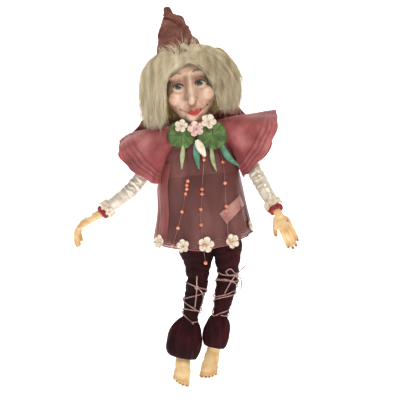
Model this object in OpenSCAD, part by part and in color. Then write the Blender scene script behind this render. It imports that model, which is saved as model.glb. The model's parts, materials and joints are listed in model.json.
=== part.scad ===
// Jointed pixie art doll: stuffed core, clay head, hands and feet, cloth costume.
// +Z is up and the doll faces -Y. The origin is the centre of the hanging eye
// on the upper back. "Right" and "left" are the doll's own: right is -X.

/* [Body] */
// Sideways lean of the body, top towards the doll's right
body_lean = 6; // [3:0.5:9]
// Distance from the hanging eye to the middle plane of the body
body_depth = 32; // [30:1:36]
// Half the distance between the shoulder joints
shoulder_half = 44; // [43:0.5:48]
// Half the distance between the hip joints
hip_half = 17.5; // [17:0.5:20]
// Depth of the hip joints below the hanging eye
hip_drop = 95.5; // [94:0.5:98]

/* [Arms] */
// Length from shoulder joint to elbow joint
upper_arm_len = 56; // [52:1:64]
// Length from elbow joint to wrist
forearm_len = 47; // [44:1:56]
// How far the right arm is raised sideways
raise_right = 39.5; // [30:0.5:45]
// How far the left arm is raised sideways
raise_left = 18.5; // [16:0.5:30]
// How far the left arm is swung forwards
swing_left = 29; // [15:1:35]
// Outward bend of the right elbow
elbow_right = 18; // [0:1:25]

/* [Legs] */
// Length from hip joint to knee joint
thigh_len = 63; // [60:1:72]
// Length from knee joint to ankle
shin_len = 84; // [80:1:94]
// Sideways lean of both shins, feet towards the doll's right
shin_lean = 11; // [6:0.5:12]
// Length from ankle to toe tips
foot_len = 44; // [40:1:48]

/* [Head] */
// Sideways tilt of the head, top towards the doll's right
head_tilt = 11; // [8:0.5:13]
// Radius of the skull
skull_r = 27.5; // [26:0.5:28]
// Height of the hat above the nod joint
hat_top = 117; // [105:1:130]

/* [Joints] */
// Radius of the hip rod, shoulder pins and nod pin
pin_r = 1.5; // [1.3:0.1:1.8]
// Radial running clearance of every pin and shaft
run_gap = 0.06; // [0.03:0.01:0.1]
// Radius of the hole through the hanging eye
eye_hole_r = 2.5; // [2:0.25:3]
// Radius of the string hole through each hand
string_hole_r = 0.6; // [0.5:0.1:0.9]

/* [Hidden] */
$fn = 48;
RIGHT = -1;
LEFT = 1;
mid_y = -body_depth;
shoulder_z = -4;
// Place of the nod joint in the skull, above and to the right of the hanging eye
nod = [-6.5, mid_y, 38.6];
free_gap = 0.4;
// Half widths of the tongues and the outer faces of the forks round them
elbow_tongue = 2.4;
elbow_ear = 4.9;
knee_tongue = 3;
knee_ear = 7;
// Height of the gather above each flounce, below the knee joint
flounce_top = 37 - shin_len;
// Half width of the pelvis block, and half the length of each thigh's hip eye
pelvis_half = hip_half - 9.9;
hip_eye_half = 8.6;

clay = "#d9b9a2";
ivory = "#ead09a";
wood = "#c8a878";
steel = "#b8b8bc";
blonde = "#cfc3a3";
rose = "#a9606c";
red_lining = "#5e1420";
plum = "#5a1420";
satin = "#ddd6cc";
crimson = "#a01c30";
cream = "#efe2cf";
leaf_green = "#3f7a4e";
sepal_green = "#9db58c";
coral = "#d9795a";
suede = "#9a7068";

// ---- Frames -------------------------------------------------------------

// Body frame: origin at the hanging eye, leaning with the torso
module body_frame() { rotate([0, -body_lean, 0]) children(); }

// Head frame: origin at the nod joint, +Z up the neck
module head_frame() { translate(nod) rotate([0, -head_tilt, 0]) children(); }

// Arm frame: origin at the shoulder joint, the arm hangs along -Z
module shoulder_frame(side) {
    body_frame() translate([side * shoulder_half, mid_y, shoulder_z])
        rotate([side == LEFT ? -swing_left : 0, 0, 0]) children();
}
module arm_frame(side) {
    raise = side == LEFT ? raise_left : raise_right;
    shoulder_frame(side) rotate([0, -side * raise, 0]) children();
}

// Turns a left arm piece, whose hand shows its back to -Y, into the right arm's,
// whose hand shows its back outwards
module arm_side(side) {
    if (side == LEFT) children();
    else rotate([0, 0, -90]) mirror([1, 0, 0]) children();
}

// Forearm frame: origin at the elbow joint, the forearm hangs along -Z
module forearm_frame(side) {
    bend = side == LEFT ? 0 : elbow_right;
    arm_frame(side) translate([0, 0, -upper_arm_len]) rotate([0, -side * bend, 0])
        arm_side(side) children();
}

// Knee joint in the model's own axes
function knee_at(side) =
    let (x = side * hip_half, z = -hip_drop - thigh_len)
    [x * cos(body_lean) - z * sin(body_lean), mid_y, x * sin(body_lean) + z * cos(body_lean)];

// Thigh frame: origin at the hip joint. Shin frame: origin at the knee joint
module thigh_frame(side) {
    body_frame() translate([side * hip_half, mid_y, -hip_drop]) children();
}
module shin_frame(side) { translate(knee_at(side)) rotate([0, shin_lean, 0]) children(); }

// ---- Shared shapes ------------------------------------------------------

// Rounded, tapered rod from point a to point b
module limb(a, b, ra, rb, knuckle = 1.04) {
    v = b - a;
    length = norm(v);
    translate(a) {
        rotate([0, acos(v[2] / length), atan2(v[1], v[0])]) cylinder(h = length, r1 = ra, r2 = rb);
        sphere(ra * knuckle);
    }
    translate(b) sphere(rb * knuckle);
}

// Round bar along X, centred on the origin
module bar_x(r, half) { rotate([0, 90, 0]) cylinder(h = 2 * half, r = r, center = true); }

// Level ring of points: centre, half width, half depth and a rise that follows
// the square of the sine, so that front and back hang lower than the sides
function ring(c, rx, ry, drop = 0, n = 36) =
    [for (i = [0:n - 1]) let (a = 360 * i / n)
        [c[0] + rx * cos(a), c[1] + ry * sin(a), c[2] - drop * pow(sin(a), 2)]];

function ring_faces(rows, n) =
    [for (j = [0:rows - 2], i = [0:n - 1])
        [j * n + i, j * n + (i + 1) % n, (j + 1) * n + (i + 1) % n, (j + 1) * n + i]];

// Solid through a stack of rings, from the top one down
module loft(rings) {
    n = len(rings[0]);
    rows = len(rings);
    polyhedron(
        points = [for (r = rings) each r],
        faces = concat(
            ring_faces(rows, n),
            [[for (i = [n - 1:-1:0]) i], [for (i = [0:n - 1]) (rows - 1) * n + i]]));
}

// Open cloth tube: the outer rings from the top down, then the inner ones back up
module skin(outer, inner) {
    n = len(outer[0]);
    loop = concat(outer, [for (i = [len(inner) - 1:-1:0]) inner[i]]);
    rows = len(loop);
    polyhedron(
        points = [for (r = loop) each r],
        faces = concat(
            ring_faces(rows, n),
            [for (i = [0:n - 1])
                [(rows - 1) * n + i, (rows - 1) * n + (i + 1) % n, (i + 1) % n, i]]));
}

// Round cloth tube about Z from a list of [radius, height], with a wall thickness
module sleeve(profile, wall) {
    rotate_extrude() polygon(concat(
        profile,
        [for (i = [len(profile) - 1:-1:0]) [profile[i][0] - wall, profile[i][1]]]));
}

// Thin cord swept through a list of points
module cord(route, r, sides = 8) {
    last = len(route) - 1;
    loft([for (i = [0:last])
        let (
            t = route[min(i + 1, last)] - route[max(i - 1, 0)],
            u = t / norm(t),
            side_raw = abs(u[1]) < 0.9 ? cross(u, [0, 1, 0]) : cross(u, [1, 0, 0]),
            p = side_raw / norm(side_raw),
            q = cross(p, u))
        [for (k = [0:sides - 1]) let (a = 360 * k / sides)
            route[i] + r * cos(a) * p + r * sin(a) * q]]);
}

// Flat five-petal flower facing -Y
module flower(r) {
    rotate([90, 0, 0]) {
        for (k = [0:4]) rotate([0, 0, 72 * k + 18]) translate([r * 0.6, 0, 0])
            cylinder(h = 1.4, r = r * 0.42, center = true);
        cylinder(h = 2, r = r * 0.38, center = true);
    }
}

// Pointed flat leaf facing -Y from point a to tip b
module blade(a, b, width, thick = 1) {
    v = b - a;
    length = norm([v[0], v[2]]);
    translate(a) rotate([0, -atan2(v[2], v[0]), 0]) rotate([90, 0, 0])
        linear_extrude(thick, center = true) polygon([
            for (i = [0:8]) [length * i / 8, width / 2 * (0.35 + 0.65 * sin(22.5 * i)) * (1 - pow(i / 8, 3))],
            for (i = [7:-1:0]) [length * i / 8, -width / 2 * (0.35 + 0.65 * sin(22.5 * i)) * (1 - pow(i / 8, 3))]]);
}

// ---- Head ---------------------------------------------------------------

// Egg of the head, grown by a clearance when it is cut out of something else
module skull(grow = 0) {
    hull($fn = 32) {
        translate([0, 2, 33]) sphere(skull_r + grow);
        translate([0, -10, 40]) sphere(skull_r * 0.7 + grow);
        for (s = [-1, 1]) translate([s * 13.5, -14, 12]) sphere(12 + grow);
        for (s = [-1, 1]) translate([s * 9 - 1, -13, -4]) sphere(9 + grow);
        translate([-2, -20.5, -10.5]) sphere(7 + grow);
    }
}

module head() {
    color(clay) head_frame() difference() {
        union() {
            skull();
            limb([0, -27, 32], [0, -33, 6.5], 2.6, 3.8);
        }
        // Neck opening behind the jaw, and the slot in which the neck tang swings
        translate([-40, -17, -40]) cube([80, 60, 36]);
        translate([-3.4, -9, -20]) cube([6.8, 18, 29]);
        bar_x(pin_r + 0.02, 16);
        for (s = [-1, 1]) translate([s * 12.8, -21.5, 23.8]) sphere(6.2);
    }
}

module eyes() {
    color("white") head_frame() for (s = [-1, 1]) translate([s * 12.8, -21.5, 23.8]) sphere(5.9);
}

module crown(grow = 0) {
    hull($fn = 32) {
        translate([0, 4, 33.5]) sphere(skull_r + 3 + grow);
        translate([0, -7, 43]) sphere(skull_r * 0.7 + 3 + grow);
    }
}

module wig_cap() {
    color(blonde) head_frame() difference() {
        crown();
        skull(free_gap);
        translate([-23, -60, -20]) cube([46, 52, 77]);
        translate([-40, -60, -20]) cube([80, 100, 22]);
    }
}

module wig_locks() {
    color(blonde) head_frame() difference() {
        union() {
            for (s = [-1, 1]) {
                hull($fn = 20) {
                    translate([s * 31, 0, 42]) sphere(12);
                    translate([s * 44, -2, 32]) sphere(13);
                    translate([s * 42, -3, 4]) sphere(12);
                }
                hull($fn = 20) {
                    translate([s * 42, -3, 4]) sphere(11);
                    translate([s * 40, -4, -2]) sphere(9);
                }
            }
            hull($fn = 20) {
                for (s = [-1, 1]) translate([s * 20, 24, 30]) sphere(13);
                for (s = [-1, 1]) translate([s * 18, 22, 0]) sphere(9);
            }
        }
        crown(free_gap);
        skull(free_gap);
    }
}

module hat() {
    brim_z = 57;
    color(rose) head_frame() difference() {
        loft([
            ring([-7.6, 0, hat_top], 1.2, 1.2, n = 28),
            ring([-7.4, 0, hat_top - 8], 5, 5, n = 28),
            ring([-4.6, 1, hat_top - 14], 9.5, 9, n = 28),
            ring([-4.8, 1, hat_top - 22], 15, 14, n = 28),
            ring([-4.4, 1, hat_top - 31], 18.5, 18, n = 28),
            ring([-2, 2, hat_top - 43], 23.5, 24, n = 28),
            ring([-2, 2, brim_z], 27, 29, n = 28)]);
        crown(free_gap);
    }
}

module hat_tufts() {
    color(cream) head_frame() {
        translate([-8, -30.5, 66]) sphere(2.6);
        translate([3, -30.5, 68.5]) sphere(2.8);
    }
}

module nod_pin() { color(steel) head_frame() bar_x(pin_r, 15); }

module neck_post() {
    color(clay) head_frame() difference() {
        union() {
            translate([0, 0, -46]) cylinder(h = 20, r = 4);
            translate([0, 0, -26.7]) cylinder(h = 2.7, r = 8);
            translate([0, 0, -24.5]) cylinder(h = 14.5, r = 7.5);
            translate([-3, -5.5, -11]) cube([6, 11, 11]);
            bar_x(5.5, 3);
        }
        bar_x(pin_r + run_gap, 5);
    }
}

// ---- Torso --------------------------------------------------------------

module chest_block() {
    color(wood) difference() {
        union() {
            body_frame() translate([0, mid_y, -18]) {
                translate([-17, -13.9, 0]) cube([34, 27.8, 28]);
                for (s = [-1, 1]) translate([s * 17, 0, 0]) cylinder(h = 28, r = 14);
            }
            head_frame() translate([0, 0, -42]) cylinder(h = 15, r = 10);
        }
        head_frame() translate([0, 0, -46.5]) cylinder(h = 40, r = 4 + run_gap);
        for (s = [-1, 1]) body_frame() translate([s * 24, mid_y, shoulder_z])
            bar_x(3 + run_gap, 11);
        body_frame() translate([0, mid_y + 8, 0]) rotate([-90, 0, 0])
            cylinder(h = 20, r = 1.22);
    }
}

module torso_body() {
    color("#d8c8b4") body_frame() hull($fn = 32) {
        for (s = [-1, 1]) {
            translate([s * 15, mid_y, -34]) sphere(15);
            translate([s * 11, mid_y, -69]) sphere(14);
        }
    }
}

module pelvis_block() {
    color(wood) body_frame() difference() {
        translate([-pelvis_half, mid_y - 12, -hip_drop - 9])
            cube([2 * pelvis_half, 24, 20]);
        translate([0, mid_y, -hip_drop]) bar_x(pin_r + 0.02, 12);
    }
}

module hip_rod() {
    rod_half = hip_half + hip_eye_half + 1.1;
    color(steel) body_frame() translate([0, mid_y, -hip_drop]) {
        bar_x(pin_r, rod_half);
        for (s = [-1, 1]) translate([s * rod_half, 0, 0]) bar_x(pin_r * 2, 0.8);
    }
}

module hanging_eye() {
    outer_r = eye_hole_r + 1.5;
    color(steel) difference() {
        union() {
            bar_x(outer_r, 0.8);
            body_frame() translate([0, mid_y + 8.5, 0]) rotate([-90, 0, 0])
                cylinder(h = body_depth - 8.5 - eye_hole_r - 0.3, r = 1.2);
        }
        bar_x(eye_hole_r, 3);
    }
}

// Top of the trousers round both hips: each row is width past the hip joint, half depth
// and height above the hip rod
module trousers_seat() {
    rows = [[11.5, 19.5, 11], [16.5, 21, 0.5], [17.5, 21, -8.5]];
    wall = 1.5;
    color(plum) body_frame() skin(
        [for (row = rows) ring([0, mid_y, row[2] - hip_drop], hip_half + row[0], row[1])],
        [for (row = rows) ring([0, mid_y, row[2] - hip_drop], hip_half + row[0] - wall, row[1] - wall)]);
}

module bodice() {
    color(rose) body_frame() skin(
        [ring([0, mid_y, -14.5], 34, 20), ring([-1, mid_y, -30], 40, 22),
            ring([-3, mid_y, -48], 46, 24)],
        [ring([0, mid_y, -14.5], 33, 19), ring([-1, mid_y, -30], 39, 21),
            ring([-3, mid_y, -48], 45, 23)]);
}

// Sheer skirt of the tunic: centre x, half width, half depth, height and drop
tunic_rows = [[-3.5, 47, 24, -49, 0], [-4, 50, 26, -80, 4], [-6, 56, 29, -112, 13]];
tunic_wall = 0.9;
function tunic_ring(row, inset) =
    ring([row[0], mid_y, row[3]], row[1] - inset, row[2] - inset, row[4]);

module tunic() {
    color(rose) body_frame() skin(
        [for (row = tunic_rows) tunic_ring(row, 0)],
        [for (row = tunic_rows) tunic_ring(row, tunic_wall)]);
}

module back_cape() {
    half = 84;
    color(red_lining) body_frame() difference() {
        translate([0, mid_y + 24.5, 0]) rotate([90, 0, 0]) linear_extrude(1.2)
            polygon([
                for (a = [0:15:180]) [half * cos(a), -6 + 30 * sin(a)],
                for (a = [180:20:360]) [half * cos(a) * 0.94, -8 + 34 * sin(a)]]);
        translate([0, mid_y + 15, 0]) rotate([-90, 0, 0]) cylinder(h = 20, r = 2);
    }
}

module tunic_patch() {
    color(rose) body_frame() translate([0, mid_y - 30.5, 0]) rotate([90, 0, 0])
        linear_extrude(0.8) polygon([[14, -87], [21.5, -99.5], [45.5, -80.5], [41.5, -68]]);
}

module collar_leaves() {
    leaf_r = 16;
    color(leaf_green) body_frame() {
        for (leaf = [[-18.5, 6], [15.5, 1.5]]) difference() {
            translate([leaf[0], mid_y - 21.4, leaf[1]]) rotate([90, 0, 0])
                cylinder(h = 1.6, r = leaf_r);
            translate([leaf[0] + 3, mid_y - 25, leaf[1]]) cube([1, 8, leaf_r + 2]);
        }
        for (s = [-1, 1]) translate([s * 17, mid_y + 22.5, 8]) rotate([90, 0, 0])
            cylinder(h = 1.6, r = 13);
    }
}

module collar_sepals() {
    y = mid_y - 25;
    color(sepal_green) body_frame() {
        blade([-17.8, y, -8], [-22.7, y, -33], 5);
        blade([-3.7, y, -6], [-3.3, y, -35], 6.5);
        blade([13, y, -12.3], [16, y, -39], 4.6);
        blade([26, y, -10], [41.5, y, -36], 6.8);
    }
}

module lace_leaf() {
    y = mid_y - 26.8;
    color(cream) body_frame() blade([-2.2, y, -2.6], [5.2, y, -20.7], 8);
}

module neck_flowers() {
    color(cream) body_frame() {
        translate([-17.7, mid_y - 24.6, 14.5]) flower(6.5);
        translate([-2, mid_y - 24.6, 9.5]) flower(8);
        translate([12.6, mid_y - 24.6, 14]) flower(7.5);
    }
}

// Stands its child off the tunic's hem at an angle round it, facing outwards
module on_hem(angle, z, gap) {
    hem = tunic_rows[2];
    translate([hem[0] + (hem[1] + gap) * cos(angle), mid_y + (hem[2] + gap) * sin(angle), z])
        rotate([0, 0, atan2(sin(angle) / hem[2], cos(angle) / hem[1]) + 90]) children();
}

// Hem flowers: angle round the hem, height and radius
module hem_flowers() {
    gap = 2.4;
    color(cream) body_frame()
        for (f = [[216, -113, 6.5], [245, -119, 6.5], [272, -120.5, 7.8], [304, -119, 7.4], [353, -106, 6.5]])
            on_hem(f[0], f[1], gap) flower(f[2]);
}

// Beads hang on three threads in front of the tunic: [x, distance in front, z]
bead_r = 2.1;
thread_r = 0.4;
thread_left = [[-17, 26.5, -46.5], [-19, 28.5, -56], [-21, 29, -61], [-27, 28.5, -80],
    [-33.5, 28, -98], [-41, 28.5, -116]];
thread_mid = [[6, 29.5, -25], [-2, 29.5, -57], [-2.7, 30, -63], [-5.7, 31, -80], [-7.5, 32.5, -97],
    [-8, 35.5, -112], [-7, 35.5, -139]];
thread_right = [[22, 27, -15], [24.5, 27, -29], [24.3, 28.5, -53], [22.7, 34, -72], [22.4, 34.2, -80],
    [22.2, 34.2, -86], [21.6, 33.5, -112]];
function in_front(route) = [for (p = route) [p[0], mid_y - p[1], p[2]]];

module bead_threads() {
    color(cream) body_frame() for (route = [thread_left, thread_mid, thread_right])
        cord(in_front(route), thread_r);
}

module beads() {
    color(coral) body_frame() for (route = [thread_left, thread_mid, thread_right])
        for (p = in_front(route)) translate(p) sphere(bead_r);
}

// ---- Arms ---------------------------------------------------------------

module shoulder_link(side) {
    color(wood) shoulder_frame(side) {
        // Shaft in the chest block, flange, bridge, two ears and the pin between them
        translate([-side * 20.5, 0, 0]) bar_x(3, 9.5);
        translate([-side * 11.4, 0, 0]) bar_x(7, 1.4);
        translate([-side * 8.6, 0, 0]) cube([4.4, 12, 11], center = true);
        for (s = [-1, 1]) {
            translate([0, s * 4.6, 0]) rotate([90, 0, 0]) cylinder(h = 2.8, r = 5.5, center = true);
            translate([-side * 4.5, s * 4.6, 0]) cube([9, 2.8, 11], center = true);
        }
        rotate([90, 0, 0]) cylinder(h = 8, r = pin_r, center = true);
    }
}

module upper_arm(side) {
    fork_top = 11;
    color("#d8c8b4") arm_frame(side) difference() {
        union() {
            rotate([90, 0, 0]) cylinder(h = 6, r = 5.4, center = true);
            limb([0, 0, -10], [0, 0, fork_top + 2 - upper_arm_len], 5, 4.7);
            translate([-2.6, -2.6, -12]) cube([5.2, 5.2, 10]);
            translate([0, 0, -upper_arm_len]) arm_side(side) for (s = [-1, 1]) {
                translate([s * (elbow_ear + elbow_tongue + 0.3) / 2, 0, 0])
                    bar_x(4.5, (elbow_ear - elbow_tongue - 0.3) / 2);
                translate([s * (elbow_ear + elbow_tongue + 0.3) / 2 - (elbow_ear - elbow_tongue - 0.3) / 2,
                    -4, 0]) cube([elbow_ear - elbow_tongue - 0.3, 8, fork_top]);
            }
            translate([0, 0, -upper_arm_len]) arm_side(side) bar_x(1.2, elbow_ear);
        }
        rotate([90, 0, 0]) cylinder(h = 8, r = pin_r + run_gap, center = true);
    }
}

module upper_sleeve(side) {
    color(satin) arm_frame(side)
        sleeve([[8.2, -14], [8, -30], [7.7, 6 - upper_arm_len]], 0.8);
}

// Finger of two bones: root, angle to the side, curl at the root, lengths and radius
module finger(root, aside, curl, length, r) {
    translate(root) rotate([0, aside, 0]) rotate([curl, 0, 0]) {
        limb([0, 0, 0], [0, 0, -length * 0.58], r, r * 0.92);
        translate([0, 0, -length * 0.58]) rotate([curl * 0.9 + 6, 0, 0])
            limb([0, 0, 0], [0, 0, -length * 0.42], r * 0.9, r * 0.72);
    }
}

module hand(side) {
    curl = side == LEFT ? 9 : 38;
    wrist_back = side == LEFT ? 0 : 13;
    color(ivory) forearm_frame(side) difference() {
        union() {
            bar_x(4.4, elbow_tongue);
            translate([-elbow_tongue + 0.1, -2.6, -10]) cube([2 * elbow_tongue - 0.2, 5.2, 10]);
            limb([0, 0, -9], [0, 0, -forearm_len], 4.4, 4.3);
            translate([0, 0, -forearm_len]) rotate([-wrist_back, 0, 0]) {
                hull($fn = 32) {
                    translate([0, 0, -3]) sphere(3.9);
                    translate([-6.2, 0, -24]) sphere(3.4);
                    translate([6.4, 0, -22.5]) sphere(3.4);
                    translate([-4.6, 1, -10]) sphere(3.4);
                }
                for (f = [[-6.8, 24, 3], [-2.4, 27, 1], [2.1, 25.5, -2], [6.3, 21, -5]])
                    finger([f[0], 0.3, -23.5], f[2], curl, f[1], 2.35);
                limb([-4.8, 1.2, -9], [-11, 2.6, -19], 3.3, 2.7);
                limb([-11, 2.6, -19], [-14.5, 4.5, -28.5], 2.7, 2.1);
            }
        }
        bar_x(1.2 + run_gap, 5);
        translate([0, 0, -forearm_len]) rotate([-wrist_back, 0, 0]) translate([4.6, 0, -18])
            rotate([90, 0, 0]) cylinder(h = 20, r = string_hole_r, center = true);
    }
}

module lower_sleeve(side) {
    color(satin) forearm_frame(side)
        sleeve([[7.7, -7], [7.4, -25], [6.2, 5 - forearm_len]], 0.8);
}

module cuff(side) {
    color(crimson) forearm_frame(side) translate([0, 0, 1 - forearm_len]) rotate_extrude()
        polygon([[4.9, 2.5], [6.2, 3.5], [7.6, 1.5], [8.2, -2], [6.8, -3], [5, -1.5]]);
}

module cuff_flowers(side) {
    color(cream) forearm_frame(side) translate([0, 0, 8 - forearm_len])
        for (k = [0:2]) rotate([0, 0, 72 * (k - 1)]) translate([0, -9.6, 0]) flower(5.2);
}

// Butterfly sleeve: rings from the armhole out to the hanging edge. Each ring is
// [distance out, height of its centre, half depth, half height, slant, shift to the front]
function flutter_ring(side, row, inset) =
    [for (i = [0:35]) let (a = 360 * i / 36, up = (row[3] - inset) * cos(a))
        [side * (row[0] + row[4] * up / row[3]), mid_y - row[5] + (row[2] - inset) * sin(a),
            row[1] + up]];

module flutter_sleeve(side) {
    armhole = [37, 0, 15, 14, 0, 0];
    rows = side == LEFT
        ? [armhole, [47, -1, 19, 20, 9, 4], [60, -8, 26, 28, 18, 9], [68, -14, 29, 35, 22, 12]]
        : [armhole, [49, -1, 20, 20, 7, 1], [63, -6, 25, 26, 14, 4], [70.5, -12, 27, 33, 18.5, 6]];
    outer = [for (row = rows) flutter_ring(side, row, 0)];
    inner = [for (row = rows) flutter_ring(side, row, 1)];
    color(rose) body_frame() {
        if (side == LEFT) skin(outer, inner);
        else skin(inner, outer);
    }
}

// ---- Legs ---------------------------------------------------------------

module thigh(side) {
    knee = [0, 0, -thigh_len];
    color("#d8c8b4") difference() {
        union() {
            thigh_frame(side) {
                bar_x(9, hip_eye_half);
                limb([0, 0, -8], knee + [0, 0, 18], 9, 6.8);
            }
            translate(knee_at(side)) for (s = [-1, 1])
                translate([s * (knee_ear + knee_tongue + 0.3) / 2, 0, 0]) {
                    bar_x(6, (knee_ear - knee_tongue - 0.3) / 2);
                    translate([-(knee_ear - knee_tongue - 0.3) / 2, -5, 0])
                        cube([knee_ear - knee_tongue - 0.3, 10, 17]);
                }
            translate(knee_at(side)) bar_x(pin_r, knee_ear);
        }
        thigh_frame(side) bar_x(pin_r + run_gap, 10);
    }
}

module trouser_thigh(side) {
    color(plum) thigh_frame(side)
        sleeve([[16.9, -11], [16.5, -25], [13.2, -45], [11.8, 8 - thigh_len]], 1.2);
}

// Foot frame: origin at the ankle, toes along -Z, sole towards +Y
module foot_frame(side) {
    turn = side == LEFT ? 3 : -6;
    pitch = side == LEFT ? 40 : 26;
    shin_frame(side) translate([0, 0, -shin_len]) rotate([0, turn, 0])
        rotate([-pitch, 0, 0]) children();
}

module foot(side) {
    ball = 13 - foot_len;
    color(ivory) difference() {
        union() {
            translate(knee_at(side)) {
                bar_x(5.8, knee_tongue);
                translate([-knee_tongue + 0.1, -4, -14]) cube([2 * knee_tongue - 0.2, 8, 14]);
            }
            shin_frame(side) limb([0, 0, -14], [0, 0, -shin_len], 5.8, 5.4);
            foot_frame(side) {
                hull($fn = 32) {
                    sphere(5.4);
                    translate([0, 5, -5]) sphere(5.6);
                    translate([side * 5, 1.5, ball]) sphere(4.3);
                    translate([-side * 5.6, 1.5, ball]) sphere(4.8);
                }
                for (k = [0:4]) {
                    big = k == 0 ? 1 : 0;
                    x = -side * (7.2 - 3.9 * k + (1 - big) * -0.6);
                    limb([x * 0.9, 1.5, ball - 1], [x, 2.5, ball - 10 + 1.4 * k], 2.5 + 1.2 * big,
                        2 + 1.2 * big - 0.1 * k);
                }
            }
        }
        translate(knee_at(side)) bar_x(pin_r + run_gap, 10);
    }
}

module trouser_shin(side) {
    color(plum) shin_frame(side)
        sleeve([[11.6, -6], [11, -18], [9.4, flounce_top + 9], [8, flounce_top + 1]], 1.1);
}

module flounce(side) {
    swell = side == LEFT ? 15 : 18;
    color(plum) shin_frame(side)
        sleeve([[7.6, flounce_top], [9.5, flounce_top - 3], [swell - 3, flounce_top - 13],
            [swell, flounce_top - 27], [swell - 0.5, flounce_top - 39],
            [swell - 1.5, flounce_top - 44]], 1.2);
}

// Crossed garter lace over the trouser leg, and its bow below the knee
module garter(side) {
    turns = 3.5;
    lace = [for (i = [0:40]) let (t = i / 40, a = 360 * turns * t, r = 13.3 - 2.6 * t)
        [r * sin(a), -r * cos(a), -7 + (flounce_top + 4 + 7) * t]];
    bow = [[9, -16, 2], [4, -17, 6], [0, -16, 3], [2, -15, -4], [7, -17, -12], [11, -17, -22]];
    color(suede) shin_frame(side) {
        cord(lace, 0.7);
        cord([for (p = bow) [side * p[0], p[1], p[2]]], 0.7);
    }
}

head();
eyes();
wig_cap();
wig_locks();
hat();
hat_tufts();
neck_post();
nod_pin();
chest_block();
torso_body();
pelvis_block();
hip_rod();
hanging_eye();
trousers_seat();
bodice();
tunic();
back_cape();
tunic_patch();
collar_leaves();
collar_sepals();
lace_leaf();
neck_flowers();
hem_flowers();
bead_threads();
beads();
shoulder_link(RIGHT);  // shoulder_link_right
shoulder_link(LEFT);  // shoulder_link_left
flutter_sleeve(RIGHT);  // flutter_sleeve_right
flutter_sleeve(LEFT);  // flutter_sleeve_left
upper_arm(RIGHT);  // upper_arm_right
upper_arm(LEFT);  // upper_arm_left
upper_sleeve(RIGHT);  // upper_sleeve_right
upper_sleeve(LEFT);  // upper_sleeve_left
hand(RIGHT);  // hand_right
hand(LEFT);  // hand_left
lower_sleeve(RIGHT);  // lower_sleeve_right
lower_sleeve(LEFT);  // lower_sleeve_left
cuff(RIGHT);  // cuff_right
cuff(LEFT);  // cuff_left
cuff_flowers(RIGHT);  // cuff_flowers_right
cuff_flowers(LEFT);  // cuff_flowers_left
thigh(RIGHT);  // thigh_right
thigh(LEFT);  // thigh_left
trouser_thigh(RIGHT);  // trouser_thigh_right
trouser_thigh(LEFT);  // trouser_thigh_left
foot(RIGHT);  // foot_right
foot(LEFT);  // foot_left
trouser_shin(RIGHT);  // trouser_shin_right
trouser_shin(LEFT);  // trouser_shin_left
flounce(RIGHT);  // flounce_right
flounce(LEFT);  // flounce_left
garter(RIGHT);  // garter_right
garter(LEFT);  // garter_left
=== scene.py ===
"""A jointed pixie art doll: clay head, hands and feet, mohair hair, a suede hat, an organza tunic
with butterfly sleeves, satin under-sleeves and velvet trousers with crossed suede laces.

Lengths inside the script are millimetres in each piece's own frame; meshes are stored in metres.
"""

import json
import logging
import math
from dataclasses import dataclass, field
from enum import Enum
from typing import Iterable, Sequence

import bmesh
import bpy
import numpy as np
from mathutils import Matrix, Vector

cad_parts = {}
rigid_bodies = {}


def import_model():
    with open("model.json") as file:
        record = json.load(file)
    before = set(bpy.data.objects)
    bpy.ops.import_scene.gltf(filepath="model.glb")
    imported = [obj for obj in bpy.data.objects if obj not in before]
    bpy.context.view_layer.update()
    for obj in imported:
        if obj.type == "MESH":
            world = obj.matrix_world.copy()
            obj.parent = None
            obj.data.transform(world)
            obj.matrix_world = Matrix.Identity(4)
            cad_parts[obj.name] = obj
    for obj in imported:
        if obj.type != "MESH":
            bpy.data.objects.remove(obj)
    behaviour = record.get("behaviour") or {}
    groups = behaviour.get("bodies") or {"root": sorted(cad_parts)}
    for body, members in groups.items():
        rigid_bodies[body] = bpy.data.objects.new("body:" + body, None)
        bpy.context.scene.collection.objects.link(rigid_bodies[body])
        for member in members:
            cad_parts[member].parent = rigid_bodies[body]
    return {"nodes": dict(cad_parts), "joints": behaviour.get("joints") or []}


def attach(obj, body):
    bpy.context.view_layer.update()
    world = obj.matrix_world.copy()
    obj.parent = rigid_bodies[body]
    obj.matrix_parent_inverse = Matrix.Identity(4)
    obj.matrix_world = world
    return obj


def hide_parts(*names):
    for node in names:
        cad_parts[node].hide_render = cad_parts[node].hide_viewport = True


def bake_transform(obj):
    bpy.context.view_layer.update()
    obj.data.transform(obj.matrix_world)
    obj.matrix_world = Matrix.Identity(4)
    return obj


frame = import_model()
LOG = logging.getLogger("pixie_doll")
MM = 0.001
Array = np.ndarray
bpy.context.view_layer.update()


class Side(Enum):
    """The doll's own right and left; the value is the sign of X on that side."""

    RIGHT = -1
    LEFT = 1

    @property
    def word(self) -> str:
        """The word that CAD node, body and joint names use for this side."""
        return self.name.lower()


# ---- Numbers ------------------------------------------------------------------------------


def unit(v: Sequence[float]) -> Array:
    """Return v at length 1."""
    a = np.asarray(v, float)
    return a / np.linalg.norm(a)


def turn(axis: str, degrees: float) -> Array:
    """Rotation matrix by the right-hand rule.

    Args:
        axis: "x", "y" or "z".
        degrees: Angle of the turn.

    Returns:
        A 3 by 3 matrix.
    """
    c, s = math.cos(math.radians(degrees)), math.sin(math.radians(degrees))
    rows = {
        "x": [[1, 0, 0], [0, c, -s], [0, s, c]],
        "y": [[c, 0, s], [0, 1, 0], [-s, 0, c]],
        "z": [[c, -s, 0], [s, c, 0], [0, 0, 1]],
    }
    return np.array(rows[axis], float)


def smooth(low: float, high: float, x: Array) -> Array:
    """Smooth step from 0 at low to 1 at high."""
    t = np.clip((np.asarray(x, float) - low) / (high - low), 0, 1)
    return t * t * (3 - 2 * t)


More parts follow.
